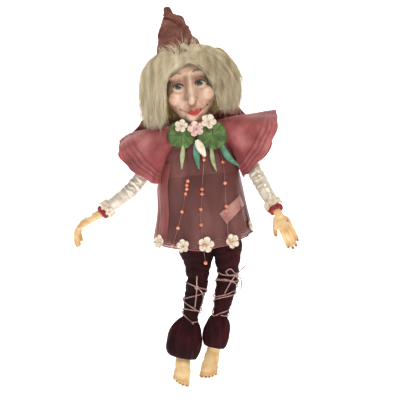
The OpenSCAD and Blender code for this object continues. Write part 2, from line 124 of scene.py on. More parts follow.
def ripple(p: Array, size: float, seed: int, layers: int = 3) -> Array:
    """Soft, seeded, noise-like field between about -1 and 1.

    Args:
        p: Points, one row each, in millimetres.
        size: Width of the largest lumps.
        seed: Fixed seed for the directions of the waves.
        layers: How many times finer lumps are added.

    Returns:
        One value per point.
    """
    rng = np.random.default_rng(seed)
    total, weight, scale = np.zeros(len(p)), 0.0, 2 * math.pi / size
    for layer in range(layers):
        for _ in range(4):
            direction = unit(rng.normal(size=3)) * scale
            wobble = np.sin(p @ unit(rng.normal(size=3)) * scale * 0.6 + rng.uniform(0, 6))
            total += np.sin(p @ direction + rng.uniform(0, 6) + 1.3 * wobble) * 0.55**layer
        weight += 2.2 * 0.55**layer
        scale *= 2.1
    return total / weight


def circle(count: int) -> Array:
    """Even angles once round, in radians."""
    return np.arange(count) * 2 * math.pi / count


def steps_of(path: Array) -> Array:
    """Distance from each point of a path to the next."""
    return np.linalg.norm(np.diff(path, axis=0), axis=1)


def run_of(path: Array) -> Array:
    """Distance along a path at each of its points."""
    return np.concatenate([[0], np.cumsum(steps_of(path))])


def with_ends(p: Array) -> Array:
    """Rows with one more at each end, carried straight on."""
    return np.vstack([2 * p[0] - p[1], p, 2 * p[-1] - p[-2]])


def between(a: Array, b: Array, c: Array, d: Array, f: Array | float) -> Array:
    """Smooth way from b to c, where f goes from 0 to 1."""
    return 0.5 * (2 * b + (c - a) * f + (2 * a - 5 * b + 4 * c - d) * f**2 + (3 * b - 3 * c + d - a) * f**3)


def row_at(table: Sequence[Sequence[float]], t: float) -> Array:
    """Row of a table at t, 0 at the first row and 1 at the last."""
    rows = np.asarray(table, float)
    k = t * (len(rows) - 1)
    j = min(int(k), len(rows) - 2)
    return between(*with_ends(rows)[j : j + 4], k - j)


def curve_points(points: Sequence[Sequence[float]], count: int) -> Array:
    """Even points along a smooth curve through given ones.

    Args:
        points: Points that the curve passes through.
        count: How many points to return.

    Returns:
        The points, one row each.
    """
    p = np.asarray(points, float)
    full, spans = with_ends(p), len(p) - 1
    t = np.linspace(0, spans, count)
    k = np.minimum(t.astype(int), spans - 1)
    return between(*(full[k + j] for j in range(4)), (t - k)[:, None])


@dataclass(frozen=True)
class Place:
    """A piece's own frame inside the doll's frame, in millimetres."""

    origin: Array
    axes: Array

    def world(self, p: Iterable) -> Array:
        """Points of this frame in the doll's frame."""
        return np.asarray(p, float) @ self.axes.T + self.origin

    def moved(self, offset: Sequence[float], axes: Array | None = None) -> "Place":
        """A frame set inside this one."""
        return Place(self.world([offset])[0], self.axes if axes is None else self.axes @ axes)


class Rig:
    """The doll's frames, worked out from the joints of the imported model."""

    elbow_bend = {Side.RIGHT: 18.0, Side.LEFT: 0.0}
    shin_lean = 11.0
    foot_turn = {Side.RIGHT: -6.0, Side.LEFT: 3.0}
    foot_pitch = {Side.RIGHT: 26.0, Side.LEFT: 40.0}
    wrist_back = {Side.RIGHT: 13.0, Side.LEFT: 0.0}
    forearm_length = 47.0
    shin_length = 84.0

    def __init__(self) -> None:
        """Read where every joint is and how its axis lies."""
        self.at = {j["name"]: np.array(j["pos_m"]) / MM for j in frame["joints"]}
        self.axis = {j["name"]: np.array(j["axis"], float) for j in frame["joints"]}
        self.body = self._upright(np.zeros(3), -self.axis["arm_swing_right"])
        up = self.axis["head_turn"]
        side = self.axis["head_nod"]
        self.head = Place(self.at["head_nod"], np.column_stack([side, np.cross(up, side), up]))
        self.mid_y = self.at["head_nod"][1]

    @staticmethod
    def _upright(origin: Array, x: Array) -> Place:
        """Frame whose X is given and whose Y is the doll's own."""
        y = np.array([0.0, 1.0, 0.0])
        return Place(origin, np.column_stack([x, y, np.cross(x, y)]))

    def _limb(self, side: Side, origin: Array, up: Array) -> Place:
        """Arm frame: +Z up the limb, -Y the back of the hand, -X the thumb."""
        axis = self.axis[f"elbow_{side.word}"]
        x = axis if side is Side.RIGHT else -axis
        x = unit(x - up * (x @ up))
        y = np.cross(up, x) * (-1 if side is Side.RIGHT else 1)
        return Place(origin, np.column_stack([x, y, up]))

    def upper_arm(self, side: Side) -> Place:
        """Frame at the shoulder joint, the arm along -Z."""
        shoulder, elbow = self.at[f"arm_raise_{side.word}"], self.at[f"elbow_{side.word}"]
        return self._limb(side, shoulder, unit(shoulder - elbow))

    def upper_arm_length(self, side: Side) -> float:
        """Distance from shoulder to elbow."""
        return float(np.linalg.norm(self.at[f"arm_raise_{side.word}"] - self.at[f"elbow_{side.word}"]))

    def forearm(self, side: Side) -> Place:
        """Frame at the elbow joint, the forearm along -Z."""
        up = self.upper_arm(side).axes[:, 2]
        if side is Side.RIGHT:
            up = turn("y", self.elbow_bend[side]) @ up
        return self._limb(side, self.at[f"elbow_{side.word}"], up)

    def hand(self, side: Side) -> Place:
        """Frame at the wrist, the fingers along -Z."""
        return self.forearm(side).moved((0, 0, -self.forearm_length), turn("x", -self.wrist_back[side]))

    def thigh(self, side: Side) -> Place:
        """Frame at the hip joint, parallel to the body's."""
        return Place(self.at[f"hip_{side.word}"], self.body.axes)

    def shin(self, side: Side) -> Place:
        """Frame at the knee joint, the shin along -Z."""
        return Place(self.at[f"knee_{side.word}"], turn("y", self.shin_lean))

    def foot(self, side: Side) -> Place:
        """Frame at the ankle, the toes along -Z and the sole towards +Y."""
        tilt = turn("y", self.foot_turn[side]) @ turn("x", -self.foot_pitch[side])
        return self.shin(side).moved((0, 0, -self.shin_length), tilt)


# ---- Nodes and materials ------------------------------------------------------------------


def srgb(code: str) -> tuple[float, float, float, float]:
    """Turn an sRGB hex colour such as "#a9606c" to the linear values that a shader takes."""
    out = []
    for k in (1, 3, 5):
        c = int(code[k : k + 2], 16) / 255
        out.append(c / 12.92 if c <= 0.04045 else ((c + 0.055) / 1.055) ** 2.4)
    return (*out, 1.0)


def add_node(tree: bpy.types.NodeTree, kind: str, settings: dict | None = None, **inputs: object) -> bpy.types.Node:
    """Add one node with its settings, values and links.

    Args:
        tree: Shader or geometry tree.
        kind: Blender's name of the node type.
        settings: Properties of the node itself.
        inputs: By socket name with _ for a space, or in0, in1 for a place in the list. A value
            is set on the socket, and a socket is linked to it.

    Returns:
        The new node.
    """
    node = tree.nodes.new(kind)
    for key, value in (settings or {}).items():
        setattr(node, key, value)
    for key, value in inputs.items():
        place = int(key[2:]) if key[:2] == "in" and key[2:].isdigit() else key.replace("_", " ")
        socket = node.inputs[place]
        if isinstance(value, bpy.types.NodeSocket):
            tree.links.new(value, socket)
        else:
            socket.default_value = value
    return node


@dataclass(frozen=True)
class Finish:
    """One finish of the doll: what it is made of and how its surface was made."""

    name: str
    base: str
    dark: str
    light: str
    roughness: float = 0.45
    bump: float = 0.2
    grain_mm: float = 0.9
    blotch_mm: float = 12.0
    blotch: float = 0.9
    sheen: float = 0.0
    sheen_tint: str = "#ffffff"
    coat: float = 0.0
    alpha: float = 1.0
    metallic: float = 0.0
    subsurface: float = 0.0
    weave_mm: float = 0.0
    paint: str = ""
    specular: float = 0.5
    stretch: tuple[float, float, float] = (1.0, 1.0, 1.0)

    def build(self) -> bpy.types.Material:
        """Make the material: blotches of colour, a fine grain or weave, and their bump."""
        material = bpy.data.materials.new(self.name)
        material.use_nodes = True
        tree = material.node_tree
        shader = tree.nodes["Principled BSDF"]
        where = add_node(tree, "ShaderNodeTexCoord").outputs["Object"]
        stretched = add_node(tree, "ShaderNodeMapping", Vector=where, Scale=self.stretch).outputs[0]
        blotch = add_node(tree, "ShaderNodeTexNoise", Vector=stretched, Scale=1 / (self.blotch_mm * MM), Detail=4.0)
        grain = add_node(tree, "ShaderNodeTexNoise", Vector=stretched, Scale=1 / (self.grain_mm * MM), Detail=2.0)
        ramp = add_node(tree, "ShaderNodeValToRGB", Fac=blotch.outputs["Fac"])
        ramp.color_ramp.elements[0].position = 0.5 - 0.25 * self.blotch
        ramp.color_ramp.elements[1].position = 0.5 + 0.25 * self.blotch
        ramp.color_ramp.elements[0].color = srgb(self.dark)
        ramp.color_ramp.elements[1].color = srgb(self.light)
        middle = ramp.color_ramp.elements.new(0.5)
        middle.color = srgb(self.base)
        colour = ramp.outputs["Color"]
        if self.paint:
            # Paint brushed on by hand, on some pieces with painted light and shade, held by the mesh, lies over the
            # body colour
            coat = add_node(tree, "ShaderNodeAttribute", {"attribute_name": self.paint})
            colour = add_node(tree, "ShaderNodeMix", {"data_type": "RGBA", "blend_type": "MULTIPLY"},
                              in0=1.0, in6=colour, in7=coat.outputs["Color"]).outputs[2]
        height = grain.outputs["Fac"]
        if self.weave_mm:
            # Threads cross at right angles along the piece's own length and width
            step = math.pi / (self.weave_mm * MM) / (2 * math.pi)
            warp = add_node(tree, "ShaderNodeTexWave", {"bands_direction": "X"}, Vector=stretched, Scale=step,
                            Distortion=1.0)
            weft = add_node(tree, "ShaderNodeTexWave", {"bands_direction": "Z"}, Vector=stretched, Scale=step,
                            Distortion=1.0)
            height = add_node(tree, "ShaderNodeMath", {"operation": "MAXIMUM"},
                              in0=warp.outputs["Fac"], in1=weft.outputs["Fac"]).outputs[0]
            # The weave's relief is painted into the colour too: painted light on the threads, painted shade between
            # them
            shade = add_node(tree, "ShaderNodeMapRange", Value=height, To_Min=0.86, To_Max=1.08)
            colour = add_node(tree, "ShaderNodeMix", {"data_type": "RGBA", "blend_type": "MULTIPLY"},
                              in0=1.0, in6=colour, in7=shade.outputs[0]).outputs[2]
        rough = add_node(tree, "ShaderNodeMapRange", Value=grain.outputs["Fac"],
                         To_Min=max(self.roughness - 0.08, 0.02), To_Max=min(self.roughness + 0.08, 1.0))
        bump = add_node(tree, "ShaderNodeBump", Height=height, Strength=self.bump, Distance=self.grain_mm * MM * 0.4)
        tree.links.new(colour, shader.inputs["Base Color"])
        tree.links.new(rough.outputs[0], shader.inputs["Roughness"])
        tree.links.new(bump.outputs[0], shader.inputs["Normal"])
        for socket, value in (("Metallic", self.metallic), ("Alpha", self.alpha), ("Sheen Weight", self.sheen),
                              ("Sheen Tint", srgb(self.sheen_tint)), ("Coat Weight", self.coat),
                              ("Subsurface Weight", self.subsurface), ("Specular IOR Level", self.specular)):
            shader.inputs[socket].default_value = value
        shader.inputs["Sheen Roughness"].default_value = 0.4
        shader.inputs["Coat Roughness"].default_value = 0.15
        shader.inputs["Subsurface Scale"].default_value = 0.002
        return material


# ---- Meshes -------------------------------------------------------------------------------


@dataclass
class Sheet:
    """Points and faces of one piece while it is being shaped, in millimetres of the doll's frame."""

    points: Array
    faces: list
    shades: dict[str, Array] = field(default_factory=dict)

    def __add__(self, other: "Sheet") -> "Sheet":
        """Both sets of faces as one, with the shades that both carry."""
        n = len(self.points)
        faces = list(self.faces) + [tuple(i + n for i in f) for f in other.faces]
        shades = {k: np.concatenate([v, other.shades[k]]) for k, v in self.shades.items()}
        return Sheet(np.vstack([self.points, other.points]), faces, shades)


def grid_faces(rows: int, columns: int, around: bool, along: bool = False) -> list:
    """Quads of a grid of points, closed around and along where asked."""
    out = []
    for j in range(rows if along else rows - 1):
        for i in range(columns if around else columns - 1):
            a, b = j * columns + i, j * columns + (i + 1) % columns
            c, d = ((j + 1) % rows) * columns + (i + 1) % columns, ((j + 1) % rows) * columns + i
            out.append((a, b, c, d))
    return out


def closed_faces(rows: int, columns: int) -> list:
    """Faces of a round skin of so many rings, with both ends closed."""
    last = (rows - 1) * columns
    ends = [tuple(range(columns - 1, -1, -1)), tuple(last + i for i in range(columns))]
    return grid_faces(rows, columns, True) + ends


def tube(path: Array, radius: Array | float, sides: int = 8, place: Place | None = None) -> Sheet:
    """Closed round tube along a path.

    Args:
        path: Points along the middle.
        radius: One radius, or one for each point.
        sides: Corners of the cross-section.
        place: Frame that the path is in.

    Returns:
        The tube with both ends closed.
    """
    p = np.asarray(path, float)
    r = np.broadcast_to(np.asarray(radius, float), (len(p),))
    t = np.gradient(p, axis=0)
    t /= np.linalg.norm(t, axis=1)[:, None] + 1e-12
    n = np.cross(t[0], [0.31, 0.9, 0.3])
    a, rings = circle(sides), []
    for k, tk in enumerate(t):
        n = unit(n - tk * (n @ tk))
        b = np.cross(tk, n)
        rings.append(p[k] + r[k] * (np.cos(a)[:, None] * n + np.sin(a)[:, None] * b))
    points = np.vstack(rings)
    return Sheet(place.world(points) if place else points, closed_faces(len(p), sides))


def blob(centre: Sequence[float], radii: Sequence[float], place: Place | None = None, rings: int = 10,
         columns: int = 14, axes: Array | None = None) -> Sheet:
    """Closed egg shape."""
    v = np.linspace(0, math.pi, rings + 2)[1:-1]
    u = circle(columns)
    p = np.array([[math.sin(a) * math.cos(b), math.sin(a) * math.sin(b), math.cos(a)] for a in v for b in u])
    p = np.vstack([p, [[0, 0, 1], [0, 0, -1]]]) * np.asarray(radii, float)
    if axes is not None:
        p = p @ axes.T
    p = p + np.asarray(centre, float)
    top, low = rings * columns, rings * columns + 1
    faces = [(d, c, b, a) for a, b, c, d in grid_faces(rings, columns, True)]
    faces += [(top, i, (i + 1) % columns) for i in range(columns)]
    last = (rings - 1) * columns
    faces += [(low, last + (i + 1) % columns, last + i) for i in range(columns)]
    return Sheet(place.world(p) if place else p, faces)


def add_attribute(mesh: bpy.types.Mesh, name: str, kind: str, values: Array | list) -> None:
    """Store a value, a vector or a colour at every point of the mesh."""
    key = {"FLOAT": "value", "FLOAT_VECTOR": "vector", "FLOAT_COLOR": "color"}[kind]
    mesh.attributes.new(name, kind, "POINT").data.foreach_set(key, np.ravel(values).astype(np.float32))


def add_object(name: str, data: bpy.types.ID) -> bpy.types.Object:
    """Make an object and link it to the scene."""
    obj = bpy.data.objects.new(name, data)
    bpy.context.scene.collection.objects.link(obj)
    return obj


def mesh_object(name: str, sheet: Sheet, material: bpy.types.Material | None, flat: bool = False) -> bpy.types.Object:
    """Turn a sheet into an object at the origin, with its faces pointing outwards."""
    mesh = bpy.data.meshes.new(name)
    mesh.from_pydata((sheet.points * MM).tolist(), [], [tuple(f) for f in sheet.faces])
    for key, values in sheet.shades.items():
        add_attribute(mesh, key, "FLOAT_COLOR", values)
    mesh.update()
    if not flat:
        tool = bmesh.new()
        tool.from_mesh(mesh)
        bmesh.ops.recalc_face_normals(tool, faces=tool.faces)
        tool.to_mesh(mesh)
        tool.free()
    mesh.shade_smooth()
    if material:
        mesh.materials.append(material)
    return add_object(name, mesh)


def bake_modifiers(obj: bpy.types.Object) -> bpy.types.Object:
    """Replace the object's mesh by what its modifiers make, and remove them."""
    deps = bpy.context.evaluated_depsgraph_get()
    made = bpy.data.meshes.new_from_object(obj.evaluated_get(deps))
    obj.modifiers.clear()
    old, obj.data = obj.data, made
    bpy.data.meshes.remove(old)
    obj.data.shade_smooth()
    return obj


def cut_flat(obj: bpy.types.Object, cloth: Sheet, width: float, *rests: str) -> None:
    """Work out the area of the flat piece that a hung sheet of cloth was cut from; the area is not kept.

    Args:
        obj: The hung cloth; not used.
        cloth: The same cloth before it was given its thickness.
        width: Width of the cut, in millimetres; not used.
        rests: CAD nodes that it lies on; not used.
    """
    p, area = np.asarray(cloth.points) * MM, 0.0
    for f in cloth.faces:
        a, b = p[f[2]] - p[f[0]], p[f[3]] - p[f[1]]
        area += float(np.linalg.norm(np.cross(a, b))) / 2


def thicken(obj: bpy.types.Object, millimetres: float) -> bpy.types.Object:
    """Give cloth its thickness, half to each side."""
    m = obj.modifiers.new("thickness", "SOLIDIFY")
    m.thickness, m.offset = millimetres * MM, 0.0
    return bake_modifiers(obj)


def dress(obj: bpy.types.Object, body: str, slot: str, *nodes: str) -> bpy.types.Object:
    """Put a finished piece on its body and hide the CAD nodes that it stands for."""
    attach(obj, body)
    if nodes:
        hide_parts(*nodes)
    return obj


# ---- Finishes -----------------------------------------------------------------------------
# Each finish says what the material is, how its surface was made and what that gives the eye.

# Air-dry clay face: sanded, painted in thin washes, its light and shade painted in too, and sealed to a soft satin
# gleam
FACE_CLAY = Finish("painted_face_clay", "#fffaf6", "#f1e6de", "#ffffff", roughness=0.33, bump=0.05, blotch_mm=14,
                   coat=0.35, subsurface=0.06, paint="skin_paint", blotch=0.5)
# Air-dry clay hands and feet: waxed ivory wash that pools a little darker, nearly matt
LIMB_CLAY = Finish("waxed_ivory_clay", "#e9c893", "#d6aa74", "#f6deb4", roughness=0.5, bump=0.12, grain_mm=1.2,
                   blotch_mm=11, coat=0.08, subsurface=0.05, paint="limb_paint")
# Glass eye, blown and fired: wet gloss over painted iris
GLASS_EYE = Finish("painted_glass_eye", "#ffffff", "#f2efe9", "#ffffff", roughness=0.08, bump=0.0, grain_mm=0.5,
                   coat=1.0, paint="eye_paint", blotch=0.5)
# Dark bristle lash, glued along the lid
LASH = Finish("bristle_lash", "#2a1b15", "#1c110d", "#3c2a20", roughness=0.5, grain_mm=0.3, bump=0.0, blotch=0.5)
# Combed mohair locks: fine, dry, straw-blonde fibre with darker roots below
MOHAIR = Finish("combed_mohair", "#dccfb0", "#ab9874", "#f6eeda", grain_mm=0.7, blotch_mm=7, sheen=0.25,
                sheen_tint="#fff4d8", stretch=(1.0, 1.0, 0.25), roughness=0.6)
# Mohair underneath, painted darker as shade where locks lie deep behind the face
MOHAIR_PAINTED_SHADE = Finish("shaded_mohair", "#a8925f", "#75603a", "#c9b88a", roughness=0.7, bump=0.4, grain_mm=0.8,
                     blotch_mm=4, blotch=1.0, stretch=(1.0, 1.0, 0.2))
# Brushed suede of the hat: dusty rose-brown nap, rubbed paler on the ridges
HAT_SUEDE = Finish("brushed_suede", "#774c42", "#54312b", "#93665a", roughness=0.95, bump=0.5, grain_mm=0.8,
                   blotch_mm=14, sheen=0.35, sheen_tint="#d8b0a4", specular=0.2)
# Silk organza of the sleeves: crisp rose cloth, two plies, with a soft satin gleam
SLEEVE_ORGANZA = Finish("rose_silk_organza", "#a45052", "#80383b", "#c47c7a", roughness=0.4, bump=0.25, blotch_mm=22,
                        sheen=0.35, sheen_tint="#ffd0d0", weave_mm=0.7, alpha=0.97)
# The same organza in one ply: the dark cloth behind shows through it
SHEER_ORGANZA = Finish("sheer_rose_organza", "#784846", "#5e3432", "#92605c", roughness=0.4, blotch_mm=26, blotch=0.8,
                       sheen=0.12, sheen_tint="#ffd8d4", weave_mm=1.1, alpha=0.5, stretch=(1.0, 1.0, 0.4))
# Organza lined with itself, where two plies lie on each other
DOUBLE_ORGANZA = Finish("double_rose_organza", "#8d4c4c", "#6c3436", "#a86866", blotch_mm=20, sheen=0.3,
                        sheen_tint="#ffd0d0", weave_mm=0.9, alpha=0.88, stretch=(1.0, 1.0, 0.4))
# Dark lawn under the sheer skirt: matt plain weave
UNDERSKIRT = Finish("plum_lawn", "#40201f", "#321716", "#4e2a28", roughness=0.85, blotch_mm=24, weave_mm=1.0,
                    blotch=0.5)
# Two plies of silk organza at the chest, paler where the light gathers between them
YOKE_ORGANZA = Finish("doubled_rose_organza_yoke", "#cf8a84", "#b8726e", "#dea69f", blotch_mm=18, sheen=0.2,
                      weave_mm=0.9)
# One more ply of organza, paler where the light gathers in the fold
PINK_PATCH = Finish("folded_organza_scrap", "#bd8680", "#a6706c", "#d0a09a", blotch_mm=14, sheen=0.2, weave_mm=1.0,
                    alpha=0.75, blotch=0.5)
# The sleeve's organza again, with the shadow of each tuck
SLEEVE_ORGANZA_TUCKED = Finish("tucked_silk_organza", "#a45052", "#80383b", "#c47c7a", roughness=0.42, bump=0.25,
                               blotch_mm=22, sheen=0.35, sheen_tint="#ffd0d0", weave_mm=0.7, alpha=0.97,
                               paint="fold_paint")
# Deep red silk of the cape and the sleeve linings
RED_SILK = Finish("deep_red_silk", "#8e1c29", "#5c0f1a", "#b3323c", blotch_mm=20, sheen=0.3, sheen_tint="#ff9a9a",
                  weave_mm=0.7)
# Green wool felt, pressed and cut, with ribs pressed into it and their shade painted on darker
LEAF_FELT = Finish("pressed_green_felt", "#55703f", "#3d522e", "#708a50", roughness=0.9, bump=0.5, grain_mm=0.6,
                   blotch_mm=6, sheen=0.15, sheen_tint="#bfe0a8", paint="leaf_paint")
# Ribbon sepals of crisp taffeta, teal and pale green
TEAL_RIBBON = Finish("teal_taffeta", "#46836c", "#2e604d", "#6ba48c", roughness=0.5, grain_mm=0.7, blotch_mm=8,
                     weave_mm=0.6, bump=0.3)
PALE_RIBBON = Finish("pale_green_taffeta", "#a3b184", "#7f9166", "#c6cda4", roughness=0.55, grain_mm=0.7, blotch_mm=8,
                     weave_mm=0.6, bump=0.3)
# Mercerised cotton thread, crocheted into lace flowers and edging
LACE = Finish("crocheted_cotton", "#f2e6d4", "#d9c6ac", "#fffaf0", roughness=0.75, bump=0.6, grain_mm=0.5, blotch_mm=3)
PINK_LACE = Finish("blush_crocheted_cotton", "#f0cfc8", "#d8a8a0", "#fff0ea", roughness=0.75, bump=0.6, grain_mm=0.5,
                   blotch_mm=3)
# Moulded pearl bead: coral lacquer over glass, with a milky bloom
CORAL_PEARL = Finish("coral_pearl", "#e08560", "#c96c4a", "#f4ab8c", roughness=0.22, bump=0.0, grain_mm=0.6,
                     blotch_mm=3, coat=0.8, blotch=0.5)
# Bead thread: waxed nylon the colour of the cloth
BEAD_THREAD = Finish("waxed_bead_thread", "#a57a70", "#8a6058", "#c09a90", roughness=0.5, grain_mm=0.4, blotch=0.5)
# Pearl satin with a silver thread: shiny ridges, greyer valleys
PEARL_SATIN = Finish("pearl_satin", "#d6cdbd", "#bdb2a2", "#ece5d8", roughness=0.3, grain_mm=2.2, blotch_mm=9,
                     sheen=0.2, metallic=0.15, specular=0.9)
# Gathered silk cuff in crimson
CRIMSON_SILK = Finish("crimson_silk", "#8c1424", "#5e0b17", "#b02a38", bump=0.4, grain_mm=0.8, blotch_mm=4, sheen=0.4,
                      sheen_tint="#ff8080")
# Cotton velvet: deep plum pile, black in the folds and rose where the light grazes it
PLUM_VELVET = Finish("plum_cotton_velvet", "#26050a", "#150203", "#390a12", roughness=0.85, bump=0.4, grain_mm=0.7,
                     blotch_mm=26, sheen=0.05, sheen_tint="#b0404c", specular=0.2)
# Suede lace, split leather cut square and stretched
SUEDE_LACE = Finish("dusty_suede_lace", "#a98480", "#85605a", "#c9a49c", roughness=0.9, bump=0.5, grain_mm=0.5,
                    blotch_mm=5, sheen=0.2, sheen_tint="#f0c8c0")
# Brown wash rubbed over each nail and let dry in its edges
NAIL_STAIN = Finish("brown_nail_wash", "#8a5a38", "#6a4028", "#a5744c", roughness=0.4, bump=0.1, grain_mm=0.5,
                    blotch_mm=2, coat=0.3, blotch=0.5)
# Turned and sanded lime wood of the hidden blocks
LIME_WOOD = Finish("sanded_lime_wood", "#c8a878", "#a9885a", "#dcc096", grain_mm=0.8, blotch_mm=5, blotch=1.0,
                   stretch=(1.0, 1.0, 0.15), roughness=0.6, bump=0.3)
# Unbleached cotton calico, stuffed hard: plain weave of the cloth body
CALICO = Finish("stuffed_calico", "#d8c8b4", "#bfae98", "#e8dccb", roughness=0.85, bump=0.4, grain_mm=0.8,
                weave_mm=0.8, blotch=0.5)
# Drawn steel wire, bright and lightly brushed
STEEL_WIRE = Finish("drawn_steel_wire", "#b8b8bc", "#98989e", "#d2d2d6", roughness=0.3, bump=0.15, grain_mm=0.4,
                    blotch_mm=4, metallic=1.0, blotch=0.5)


# ---- Geometry node trees ------------------------------------------------------------------


def node_tree(name: str, sockets: Sequence[tuple[str, str]]) -> tuple[bpy.types.NodeTree, bpy.types.Node,
                                                                      dict[str, str]]:
    """Start a geometry tree with its group input.

    Args:
        name: Name of the tree.
        sockets: Name and socket type of each input after the geometry.

    Returns:
        The tree, its input node and each input's identifier by name.
    """
    tree = bpy.data.node_groups.new(name, "GeometryNodeTree")
    tree.interface.new_socket("Geometry", in_out="INPUT", socket_type="NodeSocketGeometry")
    keys = {n: tree.interface.new_socket(n, in_out="INPUT", socket_type=kind).identifier for n, kind in sockets}
    tree.interface.new_socket("Geometry", in_out="OUTPUT", socket_type="NodeSocketGeometry")
    return tree, add_node(tree, "NodeGroupInput"), keys


def finish_tree(tree: bpy.types.NodeTree, geometry: bpy.types.NodeSocket, material: bpy.types.NodeSocket) -> None:
    """End a tree in real faces that carry their material."""
    real = add_node(tree, "GeometryNodeRealizeInstances", Geometry=geometry)
    painted = add_node(tree, "GeometryNodeSetMaterial", Geometry=real.outputs[0], Material=material)
    add_node(tree, "NodeGroupOutput", in0=painted.outputs[0])


class Fibres:
    """Tapered fibres along many short paths: hair, lashes and tufts."""

    def __init__(self) -> None:
        """Build the tree once: edges become curves, and curves become thin three-sided fibres."""
        self.tree, source, self.keys = node_tree("fibres",
                                                 [("Radius", "NodeSocketFloat"), ("Material", "NodeSocketMaterial")])
        taper = add_node(self.tree, "GeometryNodeInputNamedAttribute", {"data_type": "FLOAT"}, Name="taper")
        radius = add_node(self.tree, "ShaderNodeMath", {"operation": "MULTIPLY"},
                          in0=taper.outputs["Attribute"], in1=source.outputs["Radius"])
        curves = add_node(self.tree, "GeometryNodeMeshToCurve", Mesh=source.outputs["Geometry"])
        profile = add_node(self.tree, "GeometryNodeCurvePrimitiveCircle", Resolution=3, Radius=1.0)
        thick = add_node(self.tree, "GeometryNodeSetCurveRadius", Curve=curves.outputs[0], Radius=radius.outputs[0])
        skin = add_node(self.tree, "GeometryNodeCurveToMesh", Curve=thick.outputs[0], Profile_Curve=profile.outputs[0])
        if "Scale" in skin.inputs:
            self.tree.links.new(radius.outputs[0], skin.inputs["Scale"])
        smooth_fibre = add_node(self.tree, "GeometryNodeSetShadeSmooth", Geometry=skin.outputs[0])
        finish_tree(self.tree, smooth_fibre.outputs[0], source.outputs["Material"])

    def make(self, name: str, paths: Array, taper: Array, radius_mm: float,
             material: bpy.types.Material) -> bpy.types.Object:
        """Turn paths into fibres.

        Args:
            name: Name of the piece.
            paths: Fibres by points by three, in millimetres of the doll's frame.
            taper: Share of the radius at each point along a fibre.
            radius_mm: Thickest radius.
            material: What the fibres are made of.

        Returns:
            One plain mesh object.
        """
        count, steps = paths.shape[:2]
        mesh = bpy.data.meshes.new(name)
        edges = [(k * steps + j, k * steps + j + 1) for k in range(count) for j in range(steps - 1)]
        mesh.from_pydata((paths.reshape(-1, 3) * MM).tolist(), edges, [])
        add_attribute(mesh, "taper", "FLOAT", np.tile(taper, count))
        obj = add_object(name, mesh)
        mod = obj.modifiers.new("fibres", "NODES")
        mod.node_group = self.tree
        mod[self.keys["Radius"]] = radius_mm * MM
        mod[self.keys["Material"]] = material
        return bake_modifiers(obj)


class Repeats:
    """One small part set at many places, turned and sized at each: beads, petals, stitches, nails."""

    def __init__(self) -> None:
        """Build the tree once: the part is set on points that carry its turn and size."""
        self.tree, source, self.keys = node_tree("repeats",
                                                 [("Part", "NodeSocketObject"), ("Material", "NodeSocketMaterial")])
        part = add_node(self.tree, "GeometryNodeObjectInfo", Object=source.outputs["Part"])
        turned = add_node(self.tree, "GeometryNodeInputNamedAttribute", {"data_type": "FLOAT_VECTOR"}, Name="turned")
        sized = add_node(self.tree, "GeometryNodeInputNamedAttribute", {"data_type": "FLOAT_VECTOR"}, Name="sized")
        placed = add_node(self.tree, "GeometryNodeInstanceOnPoints", Points=source.outputs["Geometry"],
                          Instance=part.outputs["Geometry"], Rotation=turned.outputs["Attribute"],
                          Scale=sized.outputs["Attribute"])
        finish_tree(self.tree, placed.outputs[0], source.outputs["Material"])

    def make(self, name: str, part: Sheet, places: Sequence[tuple[Array, Array, Sequence[float]]],
             material: bpy.types.Material) -> bpy.types.Object:
        """Set the part at every place.

        Args:
            name: Name of the piece.
            part: The small part about its own origin, in millimetres.
            places: Origin, axes as matrix columns, and size along each axis.
            material: What the parts are made of.

        Returns:
            One plain mesh object.
        """
        seed = mesh_object(name + "_part", part, None)
        mesh = bpy.data.meshes.new(name)
        mesh.from_pydata([(np.asarray(o) * MM).tolist() for o, _, _ in places], [], [])
        turns = [list(Matrix(np.asarray(a).tolist()).to_euler()) for _, a, _ in places]
        add_attribute(mesh, "turned", "FLOAT_VECTOR", turns)
        add_attribute(mesh, "sized", "FLOAT_VECTOR", [list(s) for _, _, s in places])
        obj = add_object(name, mesh)
        mod = obj.modifiers.new("repeats", "NODES")
        mod.node_group = self.tree
        mod[self.keys["Part"]] = seed
        mod[self.keys["Material"]] = material
        bake_modifiers(obj)
        bpy.data.objects.remove(seed)
        return obj


@dataclass
class Workshop:
    """What every piece needs: the doll's frames, the two node trees and the finished materials."""

    rig: Rig = field(default_factory=Rig)
    fibres: Fibres = field(default_factory=Fibres)
    repeats: Repeats = field(default_factory=Repeats)
    made: dict[str, bpy.types.Material] = field(default_factory=dict)

    def use(self, finish: Finish) -> bpy.types.Material:
        """Return the finish's material, made once."""
        if finish.name not in self.made:
            self.made[finish.name] = finish.build()
        return self.made[finish.name]

    def piece(self, name: str, sheet: Sheet, finish: Finish) -> bpy.types.Object:
        """Closed piece in its finish."""
        return mesh_object(name, sheet, self.use(finish))

    def cloth(self, name: str, sheet: Sheet, finish: Finish, wall: float) -> bpy.types.Object:
        """Cloth, felt or lace cut to a sheet's shape, with its thickness in millimetres."""
        return thicken(mesh_object(name, sheet, self.use(finish), flat=True), wall)


# ---- Head ---------------------------------------------------------------------------------


def blend_in(a: Array, b: Array, k: float) -> Array:
    """Smooth union of two distances."""
    h = np.clip(0.5 + 0.5 * (b - a) / k, 0, 1)
    return b * (1 - h) + a * h - k * h * (1 - h)


def egg(p: Array, centre: Sequence[float], radii: Sequence[float]) -> Array:
    """Distance to an egg shape, near enough for carving."""
    q = (p - np.asarray(centre)) / np.asarray(radii, float)
    k0 = np.linalg.norm(q, axis=1)
    k1 = np.linalg.norm(q / np.asarray(radii, float), axis=1) + 1e-9
    return k0 * (k0 - 1) / k1


def rod(p: Array, a: Sequence[float], b: Sequence[float], ra: float, rb: float) -> Array:
    """Distance to a tapered rod with round ends."""
    a, b = np.asarray(a, float), np.asarray(b, float)
    t = np.clip((p - a) @ (b - a) / ((b - a) @ (b - a)), 0, 1)
    return np.linalg.norm(p - a - t[:, None] * (b - a), axis=1) - (ra + (rb - ra) * t)


